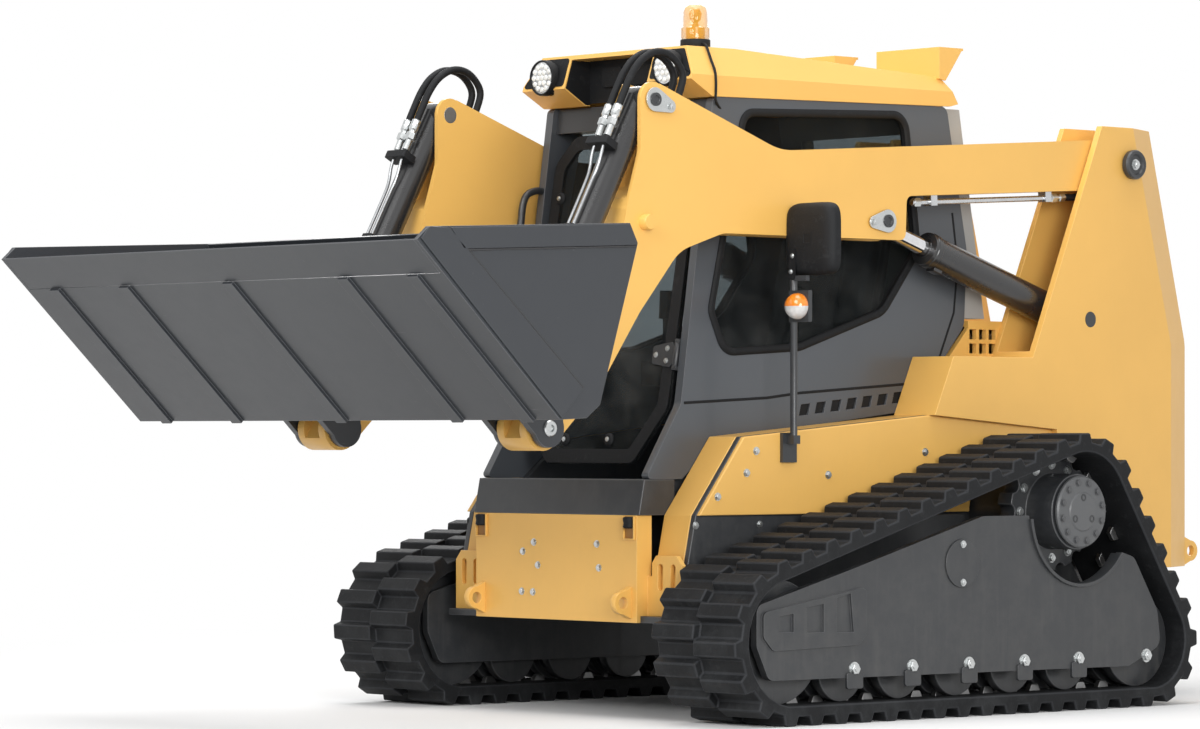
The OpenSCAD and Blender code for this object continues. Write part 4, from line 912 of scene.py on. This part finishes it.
# Beacon: a see-through amber dome with fine upright ribs at its foot, round a turned core of deeper
# amber, on the black base that stands on the roof.
beacon = spot(0.268, -0.110, 2.0614)
dress("beacon_base", black_plastic, None, 0.003)
amber = lens_finish("amber_lens", (0.98, 0.50, 0.02), 0.08, 0.42, 40.0)
deep_amber = lens_finish("amber_core", (0.50, 0.16, 0.01), 0.20)
dome_profile = [(0.041, 0.0), (0.042, 0.006), (0.042, 0.034), (0.0385, 0.037), (0.0375, 0.060),
                (0.0365, 0.086), (0.033, 0.097), (0.024, 0.104), (0.010, 0.107), (0.0, 0.1075)]
core_profile = [(0.030, 0.001), (0.030, 0.036), (0.012, 0.040), (0.008, 0.052), (0.016, 0.060),
                (0.020, 0.080), (0.014, 0.092), (0.0, 0.094)]
rib_count, rib_depth = 40, 0.0010
rib_low, rib_high = 0.004, 0.036
dome = bmesh.new()
rings = []
for radius, height in dome_profile:
    rib = rib_depth if rib_low < height < rib_high else 0.0
    radii = [radius + rib, radius - rib] * rib_count
    rings.append([beacon + Vector((r * c, r * s, height))
                  for r, (c, s) in zip(radii, arc(1.0, 2 * rib_count))])
loft(dome, rings)
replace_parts(add_piece("beacon_dome", dome, amber, "machine", 0.0, 60), "beacon_lens")
turned("beacon_core", core_profile, [Matrix.Translation(beacon)], deep_amber, "machine", 28)


# Beacon cable: a thin black lead from the base over the roof's edge and down to the cab's pillar, where it
# goes in under the roof.
def smooth_route(points, steps=6):
    """Points on a smooth line through the given ones."""
    ends = [points[0] * 2 - points[1]] + points + [points[-1] * 2 - points[-2]]
    route = []
    for k in range(1, len(ends) - 2):
        a, b, c, d = ends[k - 1:k + 3]
        for i in range(steps):
            t = i / steps
            route.append(0.5 * (2 * b + (c - a) * t + (2 * a - 5 * b + 4 * c - d) * t * t
                                + (3 * b - a - 3 * c + d) * t ** 3))
    return route + [points[-1]]


def lead(name, route, radius, material, body):
    """A flexible round line on a smooth route, as one open spline."""
    line = given(bpy.data.curves.new(name, "CURVE"), dimensions="3D", bevel_depth=radius, bevel_resolution=3,
                 use_fill_caps=True)
    spline = line.splines.new("POLY")
    spline.points.add(len(route) - 1)
    for target, point in zip(spline.points, route):
        target.co = (*point, 1)
    line.materials.append(material)
    piece = placed(name, line)
    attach(piece, body)
    return piece


def length_of(route):
    return sum((b - a).length for a, b in zip(route, route[1:]))


hose_rubber = rubber_finish("hose_rubber", 0.009, 0.05)
cable_r = 0.004
cable_points = [(0.3135, -0.122, 2.046), (0.326, -0.126, 2.0425), (0.340, -0.130, 2.034),
                (0.364, -0.136, 1.996), (0.386, -0.140, 1.960), (0.3925, -0.141, 1.930),
                (0.3925, -0.141, 1.895), (0.388, -0.138, 1.870), (0.3815, -0.120, 1.852),
                (0.374, -0.102, 1.842)]
cable_route = smooth_route([spot(*point) for point in cable_points])
cable = lead("beacon_cable", cable_route, cable_r, hose_rubber, "machine")
length_of(cable_route)

# Grab handle: a bent steel tube in black paint, welded at both ends to the cab's right front post, where
# the door's free edge is.
handle_x, handle_r = -0.365, 0.0115
handle_line = [(-0.165, 1.617), (-0.195, 1.621), (-0.230, 1.612), (-0.249, 1.595), (-0.260, 1.560),
               (-0.268, 1.500), (-0.298, 1.310), (-0.300, 1.260), (-0.285, 1.235), (-0.258, 1.226),
               (-0.222, 1.225)]
handle = bmesh.new()
tube(handle, smooth_route(side_line(handle_x, handle_line)), handle_r, 14)
add_piece("grab_handle", handle, frame_black, "machine")

# Mirrors: black moulded housings with a domed back, each with a bright plate facing the rear, on bent
# rods that stand on the side panels. A bolted rubber socket holds each to its rod.
dress("mirror_posts", frame_black, frame_rubbed_highlit, 0.002)
mirror_middle = (0.627, 0.036, 1.446)
socket_middle = (0.565, 0.036, 1.335)
mirror_half = (0.106, 0.110)
# Depth, and the outline's share of the full size there
mirror_rings = [(0.0215, 0.90), (0.0225, 0.965), (0.019, 1.0), (0.002, 0.995), (-0.010, 0.95),
                (-0.018, 0.84), (-0.0215, 0.62), (-0.0225, 0.30)]
plate_rings = [(0.0216, 0.87), (0.0226, 0.87)]
# Half width and depth of the square seat on the housing's back
back_rings = [(0.0200, -0.0205), (0.0192, -0.0235), (0.0136, -0.0237), (0.0128, -0.0227)]
socket_line = rounded([(-0.013, -0.012), (0.013, -0.012), (0.018, 0.075), (-0.006, 0.085)], 0.006, 3)
socket_depths = (-0.021, -0.028)
socket_bolts = [(0.000, 0.012), (0.006, 0.060)]
plate_silver = bright_metal("mirror_plate", (0.86, 0.87, 0.88), 0.02, 0.02)


def soft_square(share):
    """A mirror's outline: sides that bow and corners that turn wide."""
    return [[share * half * math.copysign(abs(c) ** 0.38, c) for half, c in zip(mirror_half, point)]
            for point in arc(1.0, 48)]


def mirror_ring(side, middle, outline, depth):
    """An outline round a mirror's or socket's middle on one side of the machine, at a depth."""
    return [spot(side * (middle[0] + u), middle[1] + depth, middle[2] + v) for u, v in outline]


housings, mirror_plates, sockets = bmesh.new(), bmesh.new(), bmesh.new()
for side in sides:
    for build, table in ((housings, mirror_rings), (mirror_plates, plate_rings)):
        loft(build, [mirror_ring(side, mirror_middle, soft_square(share), depth) for depth, share in table])
    loft(sockets, [mirror_ring(side, mirror_middle, oblong(-half, -half, half, half), depth)
                   for half, depth in back_rings])
    loft(sockets, [mirror_ring(side, socket_middle, socket_line, depth) for depth in socket_depths])
housing = add_piece("mirror_housings", housings, black_plastic, "machine", 0.0, 50)
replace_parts(housing, "mirrors")
add_piece("mirror_plates", mirror_plates, plate_silver, "machine")
add_piece("mirror_sockets", sockets, seal_rubber, "machine")
bolts("mirror_bolts", "machine", [(point, ahead) for side in sides for point in
                                  mirror_ring(side, socket_middle, socket_bolts, socket_depths[1])], 0.006)

# Turn signals: round moulded lamps, amber above and clear below, each on the plate of its mirror's
# post.
signal_low, signal_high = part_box("signal_lamps")
signal_x = signal_high[0] - 0.040
signal_foot = signal_high[1]
signal_z = (signal_low[2] + signal_high[2]) / 2
signal_profile = [(0.038, 0.0), (0.040, 0.004), (0.040, 0.012), (0.037, 0.024), (0.029, 0.035),
                  (0.015, 0.0405), (0.0, 0.0418)]
clear_lens = lens_finish("clear_lens", (0.80, 0.81, 0.80), 0.08, 0.75, 90.0)
amber_solid = lens_finish("signal_amber", (0.90, 0.26, 0.02), 0.10, 1.0, 90.0)
signals = bmesh.new()
for side in sides:
    lathe(signals, signal_profile, facing((side * signal_x, signal_foot, signal_z), ahead), 48)
for face in signals.faces:
    face.material_index = 0 if face.calc_center_median().z > signal_z else 1
lenses = [amber_solid, clear_lens]
signal_piece = add_piece("turn_signals", signals, lenses, "machine", 0.0, 60)
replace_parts(signal_piece, "signal_lamps")

# Lift arms: welded yellow box beams joined by a tube behind the cab, with a turned stop on each leg and
# weld beads round the tube's ends.
dress("lift_arms", body_yellow, body_rubbed_highlit, 0.005)
dress("arm_cross_tube", body_yellow)
arm_face = 0.530
stop = (-0.561, 1.481)
stop_profile = [(0.024, -0.002), (0.024, 0.024), (0.021, 0.029), (0.0, 0.0295)]
turned("arm_stops", stop_profile, seats_on_sides(arm_face, [stop]), body_yellow, "arms", 28)


def bead(build, path, radius, seed):
    """A weld bead: an uneven rope of metal along a path."""
    dice = random.Random(seed)
    fine = []
    for a, b in zip(path, path[1:]):
        steps = max(2, round((b - a).length / 0.010))
        fine += [a.lerp(b, k / steps) for k in range(steps)]
    fine.append(path[-1])
    tube(build, fine, [radius * dice.uniform(0.75, 1.2) for _ in fine], 6)


cross_tube = (1.150, 1.700)
cross_tube_end = 0.3985
weld_ring = arc(0.059, 36, middle=cross_tube)
arm_welds = bmesh.new()
for side in sides:
    bead(arm_welds, side_line(side * cross_tube_end, weld_ring + weld_ring[:1]), 0.004, 7)
# The beads take the lighter yellow: a painted highlight with some rubbing.
add_piece("arm_welds", arm_welds, body_rubbed_highlit, "arms", 0.0, 80)

# Arm pins: turned steel through the arms' heads and beams. Outside, each is held by a zinc-plated strap
# with one bolt, and shows its end in black paint.
steel = bright_metal("bare_steel", (0.55, 0.55, 0.54), 0.30)
dress("arm_pins", steel, None, 0.001)


def strap_outline(p, r0, q, r1, steps=14):
    """The outline round two circles."""
    p, q = Vector(p), Vector(q)
    way = math.atan2(q.y - p.y, q.x - p.x)
    turn = math.acos((r0 - r1) / (q - p).length)
    return arc(r1, steps, way - turn, 2 * turn, q) + arc(r0, steps, way + turn, math.tau - 2 * turn, p)


tilt_top, lift_eye = (-0.525, 1.845), (0.454, 1.515)
strap_ends = [(-0.463, 1.827), (0.392, 1.510)]
strap_face, strap_top = arm_face + 0.0052, arm_face + 0.0102
nose_profile = [(0.020, 0.0), (0.020, 0.004), (0.012, 0.005), (0.010, 0.002), (0.0, 0.002)]
pin_straps = bmesh.new()
for side in sides:
    for pin, end in zip((tilt_top, lift_eye), strap_ends):
        outline = strap_outline(pin, 0.036, end, 0.019)
        plate(pin_straps, outline, side_seat(side, strap_face), strap_top - strap_face)
add_piece("pin_straps", pin_straps, zinc, "arms", 0.001)
nose_seats = seats_on_sides(strap_top, [tilt_top, lift_eye])
turned("pin_noses", nose_profile, nose_seats, frame_black, "arms", 28)
bolts("pin_strap_bolts", "arms", on_sides(strap_top, strap_ends))

# Arm pipes: bright steel tube under each beam in two clamps, with union nuts and a rubber
# sleeve pushed over the rear end, where the pipe goes into the tower.
dress("arm_pipes", bright_metal("pipe_zinc", (0.68, 0.69, 0.70), 0.20))
pipe_from, pipe_to, pipe_x = Vector((0.590, 1.578)), Vector((1.310, 1.618)), 0.506
pipe_way = Vector((0, *(pipe_to - pipe_from).normalized()))
# Share of the pipe's length, and the nut's radius
pipe_nuts = [(0.03, 0.015), (0.90, 0.016), (0.955, 0.014)]
sleeve_steps = [(-0.02, -0.001), (0.02, 0.001), (0.06, 0.006), (0.09, 0.013)]
sleeve_line = [pipe_to + Vector(step) for step in sleeve_steps]
unions, sleeves = bmesh.new(), bmesh.new()
for side in sides:
    for share, size in pipe_nuts:
        nut = spot(side * pipe_x, *pipe_from.lerp(pipe_to, share))
        lathe(unions, [(size * 0.8, -0.014), (size, -0.011), (size, 0.011), (size * 0.8, 0.014)],
              facing(nut, pipe_way), 6)
    tube(sleeves, smooth_route(side_line(side * pipe_x, sleeve_line), 4), 0.0115, 14)
add_piece("pipe_unions", unions, zinc, "arms")
add_piece("pipe_sleeves", sleeves, hose_rubber, "arms")

# Cylinders: black painted barrels with a turned gland at the mouth and a welded port block, and
# hard-chromed rods, hung on the pins of the towers, the arms and the coupler.
chrome = bright_metal("rod_chrome", (0.82, 0.82, 0.84), 0.05, 0.05, 60.0)
for node in ("lift_rods", "tilt_rods"):
    dress(node, chrome)
cylinder_black = machine_paint("cylinder_black", (0.017, 0.017, 0.018), dust=0.07, rough=0.24, coat=0.45)
for node in ("lift_barrels", "tilt_barrels"):
    dress(node, cylinder_black)
lift_base, tilt_eye = (1.360, 1.225), (-0.953, 1.071)
arm_middle = 0.465


def along_cylinder(side, base, tip):
    """A seat at a cylinder's foot pin with Z towards its rod, and X across the machine."""
    way = Vector((0, tip[0] - base[0], tip[1] - base[1])).normalized()
    across = Vector((1, 0, 0))
    return seat_of(spot(side * arm_middle, *base), across, way.cross(across), way)


port_block = rounded(oblong(-0.018, -0.012, 0.018, 0.018), 0.004, 3)
port_t = 0.036
# name, body, foot pin, rod's eye, mouth, barrel's radius, rod's radius, port's offset and place along
glands = [
    ("lift_glands", "lift_barrel_pair", lift_base, lift_eye, 0.700, 0.052, 0.027, -0.048, 0.622),
    ("tilt_glands", "tilt_barrel_pair", tilt_top, tilt_eye, 0.740, 0.045, 0.025, 0.042, 0.662),
]
for name, body, base, tip, mouth, barrel, rod, port_off, port_foot in glands:
    gland_profile = [(barrel, -0.034), (barrel + 0.0035, -0.030), (barrel + 0.0035, -0.012),
                     (barrel + 0.001, -0.009), (barrel + 0.001, 0.002), (rod + 0.006, 0.006),
                     (rod + 0.0012, 0.004)]
    gland = bmesh.new()
    for side in sides:
        seat = along_cylinder(side, base, tip)
        lathe(gland, gland_profile, seat @ Matrix.Translation((0, 0, mouth)), 40)
        plate(gland, port_block, seat @ Matrix.Translation((0, port_off, port_foot)), port_t)
    add_piece(name, gland, cylinder_black, body, 0.001)

# Tilt hoses: two black hydraulic hoses at each arm, in a high loop from the arm's head to zinc unions in a
# clamp block on the barrel, with a steel line from there to the far port.
hose_r = 0.0115
hose_line = [(-0.630, 1.811), (-0.600, 1.870), (-0.570, 1.922), (-0.532, 1.964), (-0.480, 1.990),
             (-0.425, 1.987), (-0.384, 1.960), (-0.3646, 1.919), (-0.3879, 1.8533)]
hose_steps = (-0.020, 0.020)
union_sink = 0.018
union_profile = [(0.0120, 0.0), (0.0150, 0.003), (0.0150, 0.016), (0.0138, 0.018), (0.0150, 0.020),
                 (0.0150, 0.034), (0.0120, 0.038), (0.0100, 0.048)]
nut_profile = [(0.0140, 0.046), (0.0165, 0.049), (0.0165, 0.068), (0.0140, 0.071)]
stub_profile = [(0.0110, 0.070), (0.0110, 0.104)]
# The steel line as a share of the hose's step, its height off the barrel's middle and its place along
steel_line = [(1.0, 0.072, 0.195), (1.0, 0.066, 0.230), (0.8, 0.057, 0.270), (0.6, 0.055, 0.330),
              (0.6, 0.055, 0.600), (0.6, 0.054, 0.665)]
# Clamps as outline, place along and thickness
clamp_plates = [(rounded(oblong(-0.046, 0.040, 0.046, 0.090), 0.005, 3), 0.176, 0.024),
                (rounded(oblong(-0.022, 0.040, 0.022, 0.066), 0.004, 3), 0.460, 0.020)]
fittings, clamps, steel_lines = bmesh.new(), bmesh.new(), bmesh.new()
hoses = []
for side in sides:
    tilt_seat = along_cylinder(side, tilt_top, tilt_eye)
    for dx in hose_steps:
        route = smooth_route(side_line(side * (arm_middle + dx), hose_line), 5)
        hose = lead(f"tilt_hose_{len(hoses) + 1}", route, hose_r, hose_rubber, "arms")
        length_of(route)
        hoses.append(hose)
        way = (route[0] - route[1]).normalized()
        foot = facing(route[0] - way * union_sink, way)
        for profile, steps in ((union_profile, 24), (nut_profile, 6), (stub_profile, 16)):
            lathe(fittings, profile, foot, steps)
        line_path = [tilt_seat @ Vector((side * dx * share, off, along)) for share, off, along in steel_line]
        tube(steel_lines, smooth_route(line_path, 4), 0.005, 12)
    for outline, along, thick in clamp_plates:
        plate(clamps, outline, tilt_seat @ Matrix.Translation((0, 0, along)), thick)
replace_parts(hoses[0], "tilt_hoses")
add_piece("hose_unions", fittings, zinc, "tilt_barrel_pair")
add_piece("hose_clamps", clamps, black_plastic, "tilt_barrel_pair", 0.0015)
line_steel = bright_metal("line_steel", (0.40, 0.41, 0.42), 0.28)
add_piece("tilt_steel_lines", steel_lines, line_steel, "tilt_barrel_pair")

# Bucket: welded plate in dark grey paint, lighter along the cutting edge and the other rounded edges,
# partly rubbed and partly a painted highlight, with a flat bar welded round the top and the lower edge of
# each side plate.
bucket_grey = machine_paint("bucket_grey", (0.025, 0.028, 0.033), dust=0.12, rough=0.36, wear=0.30, coat=0.15,
                            soil=(0.105, 0.100, 0.092), bare=(0.22, 0.215, 0.21))
# A lighter grey for rounded edges: partly rubbed paint, partly a painted highlight.
bucket_rubbed_highlit = machine_paint("bucket_grey_rubbed_highlit", (0.085, 0.089, 0.096), dust=0.12, rough=0.38, wear=0.6,
                            coat=0.1, bare=(0.30, 0.29, 0.28))
for node in ("bucket_shell", "cutting_edge", "coupler_plate", "coupler_ears"):
    dress(node, bucket_grey, bucket_rubbed_highlit, 0.003)
side_face = 0.977
bar_t, bar_root = 0.006, 0.001
weld_r = 0.0035
tip, heel = Vector((front_tip, 1.382)), Vector((-1.290, 0.895))
top_rear, top_front = Vector((-1.026, 1.450)), Vector((-1.765, 1.419))
floor_in = Vector((tip.y - heel.y, heel.x - tip.x)).normalized()
lower_bar = [tip + Vector((0.012, 0.004)), heel + Vector((0.004, 0.004)),
             heel + floor_in * 0.078 + Vector((0.03, 0.03)), top_front + Vector((0.070, -0.002)), top_front]
upper_bar = [top_front + Vector((0.075, -0.001)), top_front + Vector((0.120, -0.058)),
             top_rear + Vector((0.022, -0.062)), top_rear + Vector((-0.004, -0.003))]
lower_weld = [point + floor_in * 0.003 for point in lower_bar[2:4]]
upper_weld = [point + Vector((0, -0.003)) for point in upper_bar[1:3]]
bars, bucket_welds = bmesh.new(), bmesh.new()
for side in sides:
    for outline in (lower_bar, upper_bar):
        plate(bars, outline, side_seat(side, side_face - bar_root), bar_t + bar_root)
    for weld, seed in ((lower_weld, 3), (upper_weld, 5)):
        bead(bucket_welds, side_line(side * (side_face + 0.001), weld), weld_r, seed)
add_piece("bucket_bars", bars, bucket_grey, "bucket", 0.002)
weld_dark = machine_paint("weld_dark", (0.024, 0.024, 0.026), dust=0.1, rough=0.5)
add_piece("bucket_welds", bucket_welds, weld_dark, "bucket", 0.0, 80)

# Coupler: its plate and ears have the bucket's paint. On the outside of each ear is a turned and
# zinc-plated pin end, drilled for grease.
ear_face = 0.560
bucket_pin = (-0.960, 0.872)
pin_profile = [(0.024, -0.002), (0.024, 0.004), (0.021, 0.007), (0.011, 0.008), (0.009, 0.002),
               (0.0, 0.002)]
turned("coupler_pin_ends", pin_profile, seats_on_sides(ear_face, [bucket_pin]), zinc, "bucket")
